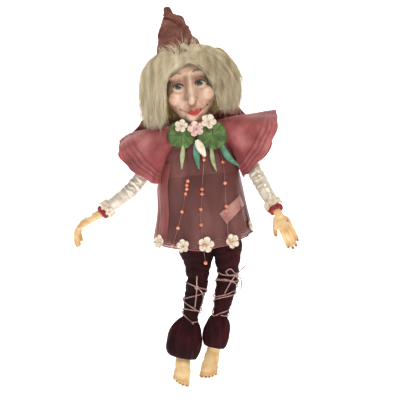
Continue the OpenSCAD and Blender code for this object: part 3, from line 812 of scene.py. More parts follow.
def near(p: Array, points: Sequence[Sequence[float]], width: float) -> Array:
    """How near points are to a line drawn on the face, 1 on it and 0 well away.

    Args:
        p: Points as x and z in the head's frame.
        points: The line's own points as x and z.
        width: Distance at which the nearness has fallen to about a third.

    Returns:
        One value per point.
    """
    line = curve_points([(*q, 0.0) for q in points], 40)[:, :2]
    best = np.full(len(p), 1e9)
    for q in line:
        best = np.minimum(best, np.sum((p - q) ** 2, axis=1))
    return np.exp(-best / width**2)


def spot(p: Array, centre: Sequence[float], sx: float, sz: float | None = None) -> Array:
    """Soft round spot on the face."""
    return np.exp(-((p[:, 0] - centre[0]) / sx) ** 2 - ((p[:, 1] - centre[1]) / (sz or sx)) ** 2)


@dataclass
class Head:
    """Clay head: carved as a radial skin, the features brushed on and painted, its light and shade painted on too."""

    shop: Workshop
    columns: int = 300
    rows: int = 220
    middle: tuple[float, float, float] = (0.0, -5.0, 16.0)
    face_drop: float = 2.6
    eye_x: float = 12.6
    eye_y: float = -21.5
    eye_z: float = 23.8
    eye_radius: float = 5.9
    lid_radius: float = 7.0
    lid_half: float = 5.5
    lip_x: tuple = (-8.6, -6.2, -4.0, -2.2, -0.7, 0.9, 2.7, 5.4, 7.2, 9.3)
    lip_top: tuple = (-6.4, -5.0, -3.9, -4.3, -5.1, -4.3, -3.7, -4.2, -4.5, -4.9)
    lip_line: tuple = (-6.4, -6.6, -6.9, -7.1, -7.5, -7.1, -6.8, -6.1, -5.5, -4.9)
    lip_low: tuple = (-6.4, -8.2, -9.9, -10.8, -11.1, -11.1, -10.8, -8.9, -7.1, -4.9)

    def build(self) -> None:
        """Make the head, the eyes with their lashes, and the neck."""
        shop, place = self.shop, self.shop.rig.head
        skin = self._skin()
        dress(shop.piece("clay_head", skin, FACE_CLAY), "head", "clay", "head")
        dress(self._eyes(), "head", "glass_eye", "eyes")
        dress(self._lashes(), "head", "mohair")
        neck = tube(curve_points([(-1, 3, 2), (-0.5, 2.5, -12), (0, 1, -27), (0, 0, -40)], 24), 9.0, 28, place)
        neck.shades["skin_paint"] = np.tile(np.array(srgb("#c9a08a")), (len(neck.points), 1))
        throat = shop.piece("clay_neck", neck, FACE_CLAY)
        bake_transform(throat)

    def _world(self, p: Array) -> Array:
        """Points of the face in the doll's frame; the face sits low on its head block."""
        return self.shop.rig.head.world(np.asarray(p) - np.array([0, 0, self.face_drop]))

    def _distance(self, p: Array) -> Array:
        """Distance to the carved head before the fine features."""
        d = egg(p, (0, 2, 33), (26.0, 27.5, 27.0))
        d = blend_in(d, egg(p, (0, -4, 15), (27.0, 24.0, 25.0)), 6)
        d = blend_in(d, egg(p, (-1.5, -11, -2.5), (16.5, 14.5, 14.5)), 7)
        d = blend_in(d, egg(p, (-2.6, -22.5, -11.5), (7.0, 5.2, 5.8)), 5)
        for s in (-1, 1):
            d = blend_in(d, egg(p, (s * 16.8 + 0.4, -21.0, 12.0), (9.4, 8.8, 8.8)), 3.2)
            d = blend_in(d, egg(p, (s * 12.6, -21.5, 35.8), (8.5, 4.5, 4.0)), 4)
            socket = egg(p, (s * self.eye_x, -29.5, 25.0), (7.6, 4.6, 6.2))
            d = -blend_in(-d, socket, 3.5)
            lid = egg(p, (s * self.eye_x, self.eye_y, self.eye_z + 0.2), (7.1, self.lid_radius, self.lid_radius))
            d = blend_in(d, lid, 1.2)
        nose = rod(p, (2.2, -23.6, 38.0), (-0.1, -36.4, 7.6), 2.3, 3.7)
        d = blend_in(d, nose, 3.0)
        d = blend_in(d, egg(p, (-0.7, -37.4, 4.6), (4.3, 3.8, 4.4)), 2.4)
        for c in ((-5.2, -31.0, 5.2), (4.6, -30.8, 6.0)):
            d = blend_in(d, egg(p, c, (2.5, 3.2, 2.7)), 1.8)
        return blend_in(d, egg(p, (0.3, -27.0, -6.8), (9.0, 3.4, 5.0)), 4)

    def _lid_edge(self, u: Array | float) -> Array | float:
        """Height of the upper lid's edge, where u goes from -1 to 1 across the eye."""
        return self.eye_z + 0.4 + 2.5 * np.clip(1 - u**2, 0, 1) ** 0.7

    @staticmethod
    def _smile(s: int) -> list:
        """Line of the smile crease on one side, from the mouth outwards."""
        return [(0.4 + s * 8.4, -5.9), (0.4 + s * 12.4, -3.7), (0.4 + s * 15.9, -0.7)]

    @staticmethod
    def _fold(s: int) -> list:
        """Line of the fold beside the nose on one side, from the nostril down."""
        return [(1.6 + s * 5.4, 6.6), (1.2 + s * 9.0, 3.4), (0.8 + s * 11.4, -0.6)]

    def _opening(self, f: Array) -> Array:
        """1 inside the almond openings of the eyes, 0 outside, with a thin edge."""
        out = np.zeros(len(f))
        for s in (-1, 1):
            u = (f[:, 0] - s * self.eye_x) / self.lid_half
            top = self._lid_edge(u)
            low = self.eye_z + 0.4 - 3.1 * np.clip(1 - u**2, 0, 1) ** 0.8
            inside = smooth(-0.25, 0.25, top - f[:, 1]) * smooth(-0.25, 0.25, f[:, 1] - low) * (np.abs(u) < 1)
            out = np.maximum(out, inside)
        return out

    def _skin(self) -> Sheet:
        """Carve the radial skin, brush the features on, and paint them and the skin's light and shade."""
        u = np.linspace(-math.pi, math.pi, self.columns, endpoint=False)
        azimuth = u - 0.62 * np.sin(u)
        v = np.linspace(0.03, math.pi - 0.03, self.rows)
        polar = v + 0.10 * np.sin(2 * v)
        a, b = np.meshgrid(azimuth, polar)
        rays = np.stack([np.sin(b) * np.sin(a), -np.sin(b) * np.cos(a), np.cos(b)], -1).reshape(-1, 3)
        centre = np.array(self.middle)
        reach = np.full(len(rays), 52.0)
        for _ in range(34):
            reach -= self._distance(centre + rays * reach[:, None]) * 0.9
        p = centre + rays * reach[:, None]
        f = p[:, [0, 2]]
        front = smooth(-6, -16, p[:, 1])
        opening = self._opening(f) * front
        upper, lower = self._lips(f)
        lift = 1.5 * np.sqrt(upper) + 1.9 * np.sqrt(lower)
        lift -= 0.9 * near(f, list(zip(self.lip_x, self.lip_line)), 0.5)
        lift += 0.8 * spot(f, (-2.6, -14.5), 4.2, 3.2) - 0.6 * near(f, [(-4, -12.2), (0, -12.6), (4, -12.0)], 1.1)
        lift -= 0.45 * near(f, [(0.9, 0.4), (0.1, -2.2), (-0.6, -4.0)], 0.8)
        for s in (-1, 1):
            lift -= 0.45 * near(f, [*self._fold(s), (0.6 + s * 12.4, -4.0)], 1.6)
            smile = self._smile(s)
            lift -= 0.55 * near(f, smile, 0.7) + 0.9 * spot(f, smile[-1], 1.0)
            crease = [(s * 18.6, 28.2), (s * 15.5, 31.2), (s * 11.5, 32.0), (s * 6.6, 29.6)]
            lift -= 0.7 * near(f, crease, 0.8)
            under = [(s * 17.5, 18.6), (s * 12.6, 16.6), (s * 7.6, 18.4)]
            lift -= 0.5 * near(f, under, 1.1)
        p = p + rays * (lift * front - 3.2 * opening + 0.07 * ripple(p, 9, 4))[:, None]
        faces = closed_faces(self.rows, self.columns)
        return Sheet(self._world(p), faces, {"skin_paint": self._paint(f, front, p)})

    def _lips(self, f: Array) -> tuple[Array, Array]:
        """Fullness of the upper and the lower lip, 0 at their edges and 1 along their middles."""
        top, line, low = (curve_points([(x, z, 0) for x, z in zip(self.lip_x, zs)], 90) for zs in
                          (self.lip_top, self.lip_line, self.lip_low))
        inside = (f[:, 0] > self.lip_x[0]) & (f[:, 0] < self.lip_x[-1])
        a, b, c = (np.interp(f[:, 0], q[:, 0], q[:, 1]) for q in (top, line, low))
        both = []
        for high, deep in ((a, b), (b, c)):
            t = (f[:, 1] - deep) / np.maximum(high - deep, 0.05)
            both.append(np.clip(4 * t * (1 - t), 0, 1) * inside * (t > 0) * (t < 1))
        return both[0], both[1]

    def _paint(self, f: Array, front: Array, p: Array) -> Array:
        """Washes of colour over the clay, one colour per point: real paint, and painted light and shade."""
        colour = np.tile(np.array(srgb("#d6b9a5")), (len(f), 1))

        def wash(mask: Array, code: str, strength: float) -> None:
            """Lay one wash over what is there."""
            m = (np.clip(mask, 0, 1) * strength * front)[:, None]
            colour[:] = colour * (1 - m) + np.array(srgb(code)) * m

        wash(0.5 + 0.5 * ripple(p, 16, 9), "#cfa58e", 0.25)
        # Painted shade: the sides of the face, where it turns away from the light, are darker
        wash(smooth(-24, -9, p[:, 1]), "#9c6f58", 0.65)
        # Painted highlights along the nose ridge and on the forehead
        wash(near(f, [(2.2, 37), (1.4, 20), (-0.4, 6)], 2.0), "#efdccb", 0.6)
        wash(spot(f, (0.8, 42), 9, 5), "#ecd2be", 0.4)
        for s in (-1, 1):
            wash(spot(f, (s * 20.5, 9.5), 7, 6), "#c88e7a", 0.35)
            # Painted highlight on each cheek
            wash(spot(f, (s * 16.0, 15.5), 3.2, 5.0), "#fbe8da", 0.6)
            wash(spot(f, (s * 12.2, 30.6), 8.5, 4.6), "#835344", 0.7)
            # Painted shade down each side of the nose, deeper on the doll's right
            wash(near(f, [(2.3 + s * 5.6, 33), (1.2 + s * 6.2, 20), (-0.2 + s * 7.4, 9)], 2.4), "#8f6450",
                 0.8 if s < 0 else 0.5)
            # Painted shade in the crease under each eye
            wash(spot(f, (s * 12.6, 17.6), 6, 1.6), "#bd8f80", 0.4)
            # Painted shade in the fold beside the nose
            wash(near(f, self._fold(s), 2.2), "#b98472", 0.4)
            smile = self._smile(s)
            # Painted shade in the smile crease, and a painted shadow in the dimple at its end
            wash(near(f, smile, 0.6), "#8a5144", 0.75)
            wash(spot(f, smile[-1], 0.95), "#3c1e18", 0.95)
            brow = [(s * 18.4, 36.6), (s * 12.9, 39.9), (s * 6.6, 38.0)]
            wash(near(f, brow, 0.8), "#6f4132", 0.9)
            u = (f[:, 0] - s * self.eye_x) / self.lid_half
            line = np.exp(-((f[:, 1] - self._lid_edge(u) - 0.5) ** 2)) * (np.abs(u) < 1.15)
            wash(line, "#2a1812", 0.95)
        upper, lower = self._lips(f)
        parting = list(zip(self.lip_x, self.lip_line))
        wash(smooth(0.02, 0.2, np.maximum(upper, lower)) + near(f, parting[1:-1], 0.6), "#b32a2c", 0.97)
        # Painted shade in the parting between the lips
        wash(near(f, parting, 0.4), "#5e0f16", 0.6)
        # Painted shade round the underside of the nose tip, and its painted shadow on the lip above
        wash(near(f, [(-5.6, 5.0), (-4.2, 1.2), (-0.9, -0.6), (2.5, 1.2), (4.4, 5.6)], 1.0), "#84543f", 0.7)
        wash(spot(f, (-0.8, -3.0), 4.4, 1.8), "#9c6c58", 0.45)
        # Painted shade under the chin
        wash(spot(f, (-1.5, -18.5), 12, 3.5), "#946650", 0.6)
        return colour

    def _eyes(self) -> bpy.types.Object:
        """Glass eyes: pupil, streaked iris, dark rim and white as rings about the line of sight."""
        angles = np.radians([0.5, 6, 11, 12, 16, 20, 24, 28, 31, 33, 34.5, 37, 42, 50, 62, 76, 90, 110, 130, 150, 165,
                             178])
        around, whole = 56, None
        spin = circle(around)
        rng = np.random.default_rng(5)
        streak = rng.uniform(0.55, 1.25, around)
        for s, gaze in ((-1, (-0.4, -0.4)), (1, (-0.8, -0.4))):
            rings, shade = [], []
            for t in angles:
                ring = np.stack([np.sin(t) * np.cos(spin), -np.cos(t) * np.ones(around), np.sin(t) * np.sin(spin)], -1)
                rings.append(ring * self.eye_radius)
                deg = math.degrees(t)
                code = "#06080c" if deg < 11.5 else "#182b38" if deg < 31.5 else "#0c161e" if deg < 35 else "#ddd6cc"
                c = np.tile(np.array(srgb(code)), (around, 1))
                if 11.5 < deg < 31.5:
                    c[:, :3] *= streak[:, None] * (0.7 + 0.5 * (deg - 11) / 20)
                shade.append(c)
            aside, up = (math.degrees(g / self.eye_radius) for g in gaze)
            q = np.vstack(rings) @ turn("z", aside).T @ turn("x", -up).T
            q = q + np.array([s * self.eye_x, self.eye_y, self.eye_z])
            one = Sheet(self._world(q), closed_faces(len(angles), around), {"eye_paint": np.vstack(shade)})
            whole = one if whole is None else whole + one
        return self.shop.piece("glass_eyes", whole, GLASS_EYE)

    def _lashes(self) -> bpy.types.Object:
        """Lashes fanned along both upper lids."""
        paths = []
        for s in (-1, 1):
            for u in np.linspace(-0.92, 0.92, 22):
                x, z = s * self.eye_x + 5.4 * u, self._lid_edge(u)
                y = self.eye_y - math.sqrt(max(self.lid_radius**2 - (5.4 * u) ** 2 - (z - self.eye_z) ** 2, 4))
                tip = 2.4 + 1.1 * s * u
                paths.append(curve_points([(x, y + 0.5, z), (x + 0.5 * u * tip, y - 1.0, z + 0.1),
                                           (x + 1.0 * u * tip, y - 1.3, z + 0.75 * tip)], 5))
        taper = np.array([1.0, 0.9, 0.7, 0.45, 0.12])
        points = self._world(np.vstack(paths)).reshape(len(paths), 5, 3)
        return self.shop.fibres.make("lashes", points, taper, 0.28, self.shop.use(LASH))


# ---- Wig and hat --------------------------------------------------------------------------


@dataclass(frozen=True)
class Lock:
    """One combed lock: guides from root to tip that its fibres lie between."""

    guides: tuple
    fibres: int
    thickness: float
    body: float = 1.0


@dataclass
class Wig:
    """Mohair wig: soft volumes under thousands of combed fibres, parted at the front."""

    shop: Workshop
    steps: int = 9
    fibre_radius: float = 0.2
    clumps: int = 42
    stray_share: float = 0.14
    lock_sets: dict = field(default_factory=lambda: {
        # Doll's right: from the parting over the temple and down past the cheek
        "hair_right": (
            Lock((
                ((9, -22, 56), (-3, -29, 51), (-17, -30, 43), (-29, -27, 31), (-34, -24, 15), (-38, -21, -2),
                 (-40, -19, -15)),
                ((1, -23, 61), (-14, -25, 61), (-30, -25, 55), (-41, -22, 40), (-46, -20, 22), (-49, -18, 4),
                 (-50, -16, -14)),
                ((0, -20, 64), (-16, -19, 66), (-35, -18, 61), (-49, -16, 48), (-55, -14, 30), (-58, -13, 9),
                 (-60, -12, -8)),
            ), 1900, 6.0),
            Lock((
                ((13, -24, 57), (11, -28, 51), (5, -29, 47.5), (-5, -29, 45.5), (-16, -28, 41), (-25, -25, 33)),
                ((8, -24, 60), (0, -28, 54), (-10, -28, 50), (-21, -27, 45), (-29, -24, 37), (-33, -21, 25)),
            ), 420, 3.0),
            Lock((
                ((-2, -10, 65), (-18, -9, 67), (-36, -6, 61), (-49, -4, 46), (-54, -3, 28), (-56, -3, 8),
                 (-57, -3, -9)),
                ((-3, 2, 65), (-18, 5, 66), (-34, 8, 58), (-45, 10, 43), (-49, 11, 25), (-51, 11, 6), (-52, 10, -10)),
            ), 900, 5.0),
        ),
        # Doll's left: fuller, swept out from the parting and falling to the shoulder
        "hair_left": (
            Lock((
                ((2, -23, 60), (11, -29, 52), (20, -31, 40), (27, -29, 28), (32, -26, 14), (35, -22, 0),
                 (35, -18, -13)),
                ((2, -23, 64), (16, -27, 60), (30, -26, 50), (41, -24, 36), (45, -21, 20), (46, -19, 5),
                 (46, -17, -9)),
                ((4, -20, 67), (20, -22, 65), (37, -21, 56), (50, -18, 44), (56, -16, 29), (56, -14, 13),
                 (53, -13, -3)),
            ), 2000, 6.0),
            Lock((
                ((-7, -24, 57), (-2, -28, 51.5), (6, -29.5, 47), (15, -29, 42), (23, -27, 33), (28, -25, 24)),
                ((-2, -24, 60), (7, -28, 55), (17, -28.5, 48.5), (25, -27, 40), (30, -25, 31), (33, -22, 20)),
            ), 460, 3.0),
            Lock((
                ((6, -10, 68), (22, -9, 67), (39, -7, 57), (52, -6, 43), (57, -5, 26), (56, -4, 9), (52, -4, -7)),
                ((5, 2, 67), (20, 5, 66), (36, 8, 56), (47, 10, 41), (51, 11, 24), (51, 11, 6), (49, 10, -9)),
            ), 900, 5.0),
        ),
        # Loose hairs that lift off the parting and cross the hat's lower edge
        "hair_wisps": (
            Lock((
                ((-20, -24, 56), (-24, -28, 60), (-27, -27, 66), (-28, -24, 70)),
                ((-8, -26, 57), (-10, -31, 61), (-13, -31, 66), (-19, -29, 70)),
                ((2, -26, 57), (4, -31, 62), (6, -31, 69), (9, -29, 76)),
                ((12, -26, 57), (18, -30, 62), (25, -28, 66), (32, -24, 68)),
            ), 70, 3.0),
        ),
        # Back: combed straight down to the nape
        "hair_back": (
            Lock((
                ((-20, 8, 64), (-30, 16, 58), (-40, 22, 42), (-43, 24, 22), (-42, 23, 2), (-40, 21, -12)),
                ((0, 14, 66), (0, 27, 58), (0, 36, 40), (0, 38, 20), (0, 35, 0), (0, 31, -14)),
                ((20, 8, 66), (31, 16, 58), (41, 22, 41), (44, 24, 21), (43, 23, 2), (41, 21, -12)),
            ), 1500, 4.0),
        ),
    })

    def build(self) -> None:
        """Make the volumes and the fibres of each lock."""
        shop = self.shop
        dress(self._volume(), "head", "mohair", "wig_cap", "wig_locks")
        for number, (name, locks) in enumerate(self.lock_sets.items()):
            rng = np.random.default_rng(20 + number)
            paths = np.vstack([self._strands(lock, rng) for lock in locks])
            points = shop.rig.head.world(paths.reshape(-1, 3)).reshape(paths.shape)
            taper = np.interp(np.linspace(0, 1, self.steps), [0, 0.1, 0.7, 1], [0.7, 1.0, 0.9, 0.2])
            dress(shop.fibres.make(name, points, taper, self.fibre_radius, shop.use(MOHAIR)), "head", "mohair")

    def _strands(self, lock: Lock, rng: np.random.Generator) -> Array:
        """Fibres of one lock, in the head's frame."""
        guides = np.array([curve_points(g, self.steps) for g in lock.guides])
        span = len(guides) - 1
        out = []
        t = np.linspace(0, 1, self.steps)[:, None]
        clumps = rng.uniform(0, span, self.clumps)
        for _ in range(lock.fibres):
            home = clumps[rng.integers(len(clumps))]
            place = float(np.clip(home + rng.normal(0, 0.10), -0.05, span + 0.05))
            k = int(np.clip(math.floor(place), 0, span - 1))
            w = place - k
            line = guides[k] * (1 - w) + guides[k + 1] * w
            deep = rng.uniform(0, 1) ** 1.4 * lock.thickness
            inward = unit(np.array([-line[self.steps // 2][0], -line[self.steps // 2][1] * 0.4, -6]))
            stray = rng.normal(size=3) * (0.7 + (rng.uniform() < self.stray_share) * 3.4)
            wave = np.sin(t * rng.uniform(3, 7) + rng.uniform(0, 6)) * rng.normal(0, 0.7, 3)
            line = line + inward * deep * (0.3 + 0.7 * t) + stray * t**1.5 * 1.6 + wave * t
            line = line[0] + (line - line[0]) * (1 + rng.normal(0, 0.03))
            if rng.uniform() < 0.5:
                ends = np.linspace(0, rng.uniform(0.74, 1.0), self.steps)
                line = np.column_stack([np.interp(ends, t[:, 0], line[:, j]) for j in range(3)])
            out.append(line)
        return np.array(out)

    def _volume(self) -> bpy.types.Object:
        """Soft mass under the fibres, grooved along the way they fall, darker as painted shade."""
        whole = None
        shapes = (
            ((0, 4, 36), (30, 29, 29), 0.0),
            ((-40, -4, 36), (12, 15, 24), 8.0), ((41, -4, 36), (13, 15, 24), -8.0),
            ((-45, -4, 13), (9.5, 13, 19), 4.0), ((44, -4, 16), (10, 13, 17), -4.0),
            ((-33, -9, 16), (6, 8, 26), 0.0), ((32, -9, 16), (6, 8, 26), 0.0),
            ((-20, 18, 18), (19, 15, 30), 0.0), ((20, 18, 18), (19, 15, 30), 0.0),
        )
        for centre, radii, lean in shapes:
            one = blob((0, 0, 0), radii, None, 36, 72, turn("y", lean))
            flow = np.arctan2(one.points[:, 1], one.points[:, 0])
            groove = np.sin(flow * 26 + one.points[:, 2] * 0.08) * 0.35 + np.sin(flow * 11 + 2) * 0.3
            out = one.points / (np.linalg.norm(one.points, axis=1)[:, None] + 1e-9)
            one.points = one.points + out * groove[:, None] + np.array(centre)
            if centre == (0, 4, 36):
                # The front of the cap stops at the hairline
                push = smooth(-6, -22, one.points[:, 1]) * smooth(52, 44, one.points[:, 2])
                one.points[:, 1] += push * 14
                lowered = smooth(14, 4, one.points[:, 2]) * smooth(0, -14, one.points[:, 1])
                one.points[:, 1] += lowered * 12
            one = Sheet(self.shop.rig.head.world(one.points), one.faces)
            whole = one if whole is None else whole + one
        return self.shop.piece("hair_mass", whole, MOHAIR_PAINTED_SHADE)


@dataclass
class Hat:
    """Crumpled suede cone: rows of centre x, centre y, half width, half depth and height."""

    shop: Workshop
    rows: tuple = ((-9.0, 1, 0.5, 0.5, 118.0), (-8.4, 1, 3.6, 3.4, 117.0), (-7.8, 0.8, 4.8, 4.4, 113.0),
                   (-7.2, 0.8, 5.9, 5.8, 108.4), (-3.8, 0.8, 11.0, 9.8, 103.4), (-5.0, 1, 14.4, 13.2, 96.0),
                   (-5.4, 1, 18.2, 16.5, 88.0), (-5.6, 1, 20.6, 19.2, 80.0), (-4.2, 2, 24.4, 23.0, 73.0),
                   (-3.2, 2, 25.6, 26.0, 67.0), (-3.0, 2, 26.0, 28.0, 60.0), (-3.0, 2, 24.6, 27.0, 59.0))
    folds: tuple = (((-12.5, 105.0), (-4, 99), (4, 91.5), (8.8, 85.6)), ((8.6, 86), (5.5, 79), (3, 72), (1.0, 65.4)),
                    ((-22, 84), (-12, 80), (-4, 82)), ((-26, 72), (-16, 70), (-8, 75)), ((14, 80), (18, 74), (22, 69)))

    def build(self) -> None:
        """Make the crown and the two lace tufts."""
        rig, shop = self.shop.rig, self.shop
        around, along = 150, 130
        profile = curve_points([(r[0], r[1], r[4]) for r in self.rows], along)
        size = curve_points([(r[2], r[3], 0) for r in self.rows], along)
        a = circle(around)
        p = np.array([[c[0] + s[0] * np.cos(a), c[1] + s[1] * np.sin(a), np.full(around, c[2])]
                      for c, s in zip(profile, size)]).transpose(0, 2, 1).reshape(-1, 3)
        axis = np.repeat(profile, around, axis=0)
        out = p - axis
        out /= np.linalg.norm(out, axis=1)[:, None] + 1e-6
        for side, flip in ((-1, 1.0), (1, -1.0)):
            f = np.column_stack([p[:, 0] * flip + (0 if flip > 0 else -6), p[:, 2]])
            facing = smooth(0.1, 0.7, side * out[:, 1])
            for k, fold in enumerate(self.folds):
                deep = 5.4 if k < 2 else 2.2
                upper = [(x + 0.8, z + 3.0) for x, z in fold]
                p += out * (facing * (0.55 * deep * near(f, upper, 2.6) - deep * near(f, fold, 1.9)))[:, None]
        grow = smooth(112, 100, p[:, 2]) * smooth(58, 66, p[:, 2])
        p += out * (grow * (1.3 * ripple(p, 26, 31) + 0.5 * ripple(p, 10, 32)))[:, None]
        p += out * (0.5 * smooth(63.5, 61.5, p[:, 2]))[:, None]
        crown = Sheet(rig.head.world(p), closed_faces(along, around))
        dress(shop.piece("suede_hat", crown, HAT_SUEDE), "head", "rose_suede", "hat")
        rng = np.random.default_rng(12)
        paths = []
        for centre, count, size in (((-8.2, -27.5, 62.5), 80, 3.6), ((2.2, -27.5, 65.0), 90, 4.4)):
            for _ in range(count):
                way = unit(rng.normal(size=3) * (1, 0.5, 1) + (0, -0.7, 0.3)) * size * rng.uniform(0.5, 1)
                bend = rng.normal(size=3) * 0.8
                paths.append(curve_points([np.array(centre), np.array(centre) + way * 0.5 + bend,
                                           np.array(centre) + way], 5))
        points = rig.head.world(np.vstack(paths)).reshape(len(paths), 5, 3)
        tufts = shop.fibres.make("lace_tufts", points, np.array([1, 1, 0.9, 0.8, 0.5]), 0.3, shop.use(LACE))
        dress(tufts, "head", "cream_lace", "hat_tufts")


# ---- Tunic, cape and collar ---------------------------------------------------------------


@dataclass
class TunicShape:
    """Rings that the tunic hangs on, in the body's frame: centre x, half width, half depth, height, drop."""

    mid: float
    rows: tuple = ((-1.0, 11.0, 10.5, 17.0, 0), (-1.0, 21.0, 15.5, 13.5, 0), (-1.0, 31.0, 19.0, 6.0, 0),
                   (-1.5, 37.5, 21.5, -8.0, 0), (-2.0, 41.0, 22.6, -22.0, 0), (-3.0, 45.0, 23.6, -37.0, 0),
                   (-4.2, 48.0, 24.8, -52.0, 0.5), (-4.2, 50.2, 26.8, -80.0, 5.0), (-5.8, 55.6, 29.6, -112.0, 13.0))

    def ring(self, t: float, angles: Array, gap: float = 0.0) -> Array:
        """Points round one level.

        Args:
            t: 0 at the neck and 1 at the hem.
            angles: Angles in radians, -90 degrees at the front.
            gap: Distance outwards.

        Returns:
            One point for each angle.
        """
        cx, rx, ry, z, drop = row_at(self.rows, t)
        # Cloth folds lengthwise, and the folds open towards the hem
        loose = smooth(-30, -118, z) if z < -30 else 0.0
        fold = 1.5 * np.sin(7 * angles + 0.6 + 0.006 * z) + 0.9 * np.sin(12 * angles + 2.1)
        fold += 0.6 * np.sin(23 * angles + 4 + 0.02 * z)
        wide = rx + gap + fold * loose * 1.15
        deep = ry + gap + fold * loose * 0.8
        return np.column_stack([cx + wide * np.cos(angles), self.mid + deep * np.sin(angles),
                                z - drop * np.sin(angles) ** 2 + 0.5 * loose * np.sin(9 * angles + 1)])

    def panel(self, place: Place, t0: float, t1: float, a0: float, a1: float, gap: float, along: int,
              across: int) -> Sheet:
        """Part of the tunic's surface between two levels and two angles in degrees."""
        around = abs(a1 - a0) >= 359.9
        angles = np.radians(np.linspace(a0, a1, across, endpoint=not around))
        rings = [self.ring(t, angles, gap) for t in np.linspace(t0, t1, along)]
        return Sheet(place.world(np.vstack(rings)), grid_faces(along, across, around))

    def front(self, x: float, z: float) -> float:
        """Depth of the front surface at one place, as y in the body's frame."""
        best, angles = (1e9, self.mid - 25.0), np.radians(np.linspace(-165, -15, 151))
        for t in np.linspace(0.3, 1.0, 60):
            ring = self.ring(t, angles)
            k = int(np.argmin((ring[:, 0] - x) ** 2 + (ring[:, 2] - z) ** 2))
            d = float((ring[k, 0] - x) ** 2 + (ring[k, 2] - z) ** 2)
            if d < best[0]:
                best = (d, float(ring[k, 1]))
        return best[1]


@dataclass
class Tunic:
    """Sheer organza tunic over a dark underskirt, with its lined yoke, side ply, patch and rolled hem."""

    shop: Workshop

    def build(self) -> None:
        """Make every ply, then the hem and its stitches."""
        shop, rig = self.shop, self.shop.rig
        shape, body = TunicShape(rig.mid_y), rig.body
        cloth = shape.panel(body, 0.30, 1.0, 0, 360, 0.0, 72, 200)
        skirt = shop.cloth("tunic_skirt", cloth, SHEER_ORGANZA, 0.35)
        dress(skirt, "torso", "rose_organza", "tunic", "bodice")
        cloth = shape.panel(body, 0.0, 0.665, 0, 360, -0.9, 52, 160)
        yoke = shop.cloth("tunic_yoke", cloth, YOKE_ORGANZA, 0.5)
        dress(yoke, "torso", "rose_organza")
        cut_flat(yoke, cloth, 240, "torso_body")
        cloth = shape.panel(body, 0.52, 0.985, 150, 222, 1.2, 50, 50)
        ply = shop.cloth("tunic_side_ply", cloth, DOUBLE_ORGANZA, 0.3)
        dress(ply, "torso", "rose_organza")
        cut_flat(ply, cloth, 60, "torso_body")
        cloth = shape.panel(body, 0.56, 0.985, 0, 360, -2.4, 60, 180)
        under = shop.cloth("underskirt", cloth, UNDERSKIRT, 0.4)
        dress(under, "torso", "plum_velvet", "trousers_seat")
        cut_flat(under, cloth, 270, "torso_body")
        angles = np.radians(np.linspace(0, 360, 240, endpoint=False))
        hem_line = body.world(shape.ring(1.0, angles, 0.1))
        hem = tube(np.vstack([hem_line, hem_line[:1]]), 0.75, 8)
        rolled = shop.piece("rolled_hem", hem, DOUBLE_ORGANZA)
        dress(rolled, "torso", "rose_organza")
        stitch = blob((0, 0, 0), (0.75, 0.2, 0.2), None, 4, 6)
        places = []
        for a in np.radians(np.arange(0, 360, 2.4)):
            q = shape.ring(0.975, np.array([a, a + 0.02]), 0.35)
            places.append((body.world([q[0]])[0],
                           np.column_stack([unit(body.axes @ (q[1] - q[0])), body.axes[:, 1], body.axes[:, 2]]),
                           (1.0, 1.0, 1.0)))
        dress(shop.repeats.make("hem_stitches", stitch, places, shop.use(BEAD_THREAD)), "torso", "cream_thread")
        self._patch(shape)

    def _patch(self, shape: TunicShape) -> None:
        """Folded scrap of organza caught under the front."""
        corners = np.array([(14.2, -86.8), (21.4, -99.5), (43.6, -80.5), (39.8, -68.6)])
        n, points = 9, []
        for u in np.linspace(0, 1, n):
            for v in np.linspace(0, 1, n):
                low, high = corners[0] * (1 - u) + corners[3] * u, corners[1] * (1 - u) + corners[2] * u
                x, z = low * (1 - v) + high * v
                points.append((x, shape.front(x, z) - 1.1, z))
        sheet = Sheet(self.shop.rig.body.world(points), grid_faces(n, n, False))
        patch = self.shop.cloth("organza_patch", sheet, PINK_PATCH, 0.3)
        dress(patch, "torso", "rose_organza", "tunic_patch")
        cut_flat(patch, sheet, 28, "torso_body")


@dataclass
class Cape:
    """Deep red silk cape across the back, its outline as x and z in the body's frame."""

    shop: Workshop
    outline: tuple = ((-90, 5), (-80, 14), (-69, 23), (-62, 31), (-48, 36), (-24, 30), (0, 26), (20, 30), (38, 36.5),
                      (49, 36), (58, 25), (72, 15), (84, 4), (84, -14), (70, -30), (44, -38), (14, -36), (-16, -36),
                      (-46, -38), (-70, -30), (-86, -12))

    def build(self) -> None:
        """Make the cape as one curved sheet."""
        shop, body = self.shop, self.shop.rig.body
        loop = curve_points([(x, 0, z) for x, z in (*self.outline, self.outline[0])], 141)[:-1, [0, 2]]
        rows, points = 26, []
        for r in np.linspace(0.02, 1, rows):
            q = loop * r
            wave = 1.6 * np.sin(q[:, 0] * 0.16) * smooth(15, 60, np.abs(q[:, 0]))
            wave += 1.0 * np.sin(q[:, 0] * 0.31 + q[:, 1] * 0.1)
            sweep = -0.0011 * q[:, 0] ** 2
            points.append(np.column_stack([q[:, 0], self.shop.rig.mid_y + 25.5 + wave + sweep, q[:, 1]]))
        n = len(loop)
        sheet = Sheet(body.world(np.vstack(points)), grid_faces(rows, n, True) + [tuple(range(n - 1, -1, -1))])
        cape = shop.cloth("silk_cape", sheet, RED_SILK, 0.6)
        dress(cape, "torso", "red_lining", "back_cape")
        edge = np.vstack([points[-1], points[-1][:1]])
        dress(shop.piece("cape_hem", tube(edge, 0.7, 8, body), RED_SILK), "torso", "red_lining")


def petal() -> Sheet:
    """One crocheted petal, a unit long from its root at the origin, cupped and ribbed."""
    cup = blob((0.55, 0, 0), (0.5, 0.42, 0.13), None, 9, 16)
    p = cup.points
    p[:, 1] *= (0.6 + 0.72 * np.clip(p[:, 0], 0, 1)) * (1 + 0.1 * np.cos(p[:, 0] * 17))
    ribs = (0.08 * np.cos(p[:, 1] * 24) + 0.05 * np.cos(p[:, 0] * 21)) * (p[:, 2] > 0)
    p[:, 2] += 0.28 * p[:, 0] ** 2 + 0.6 * p[:, 1] ** 2 + ribs
    return cup


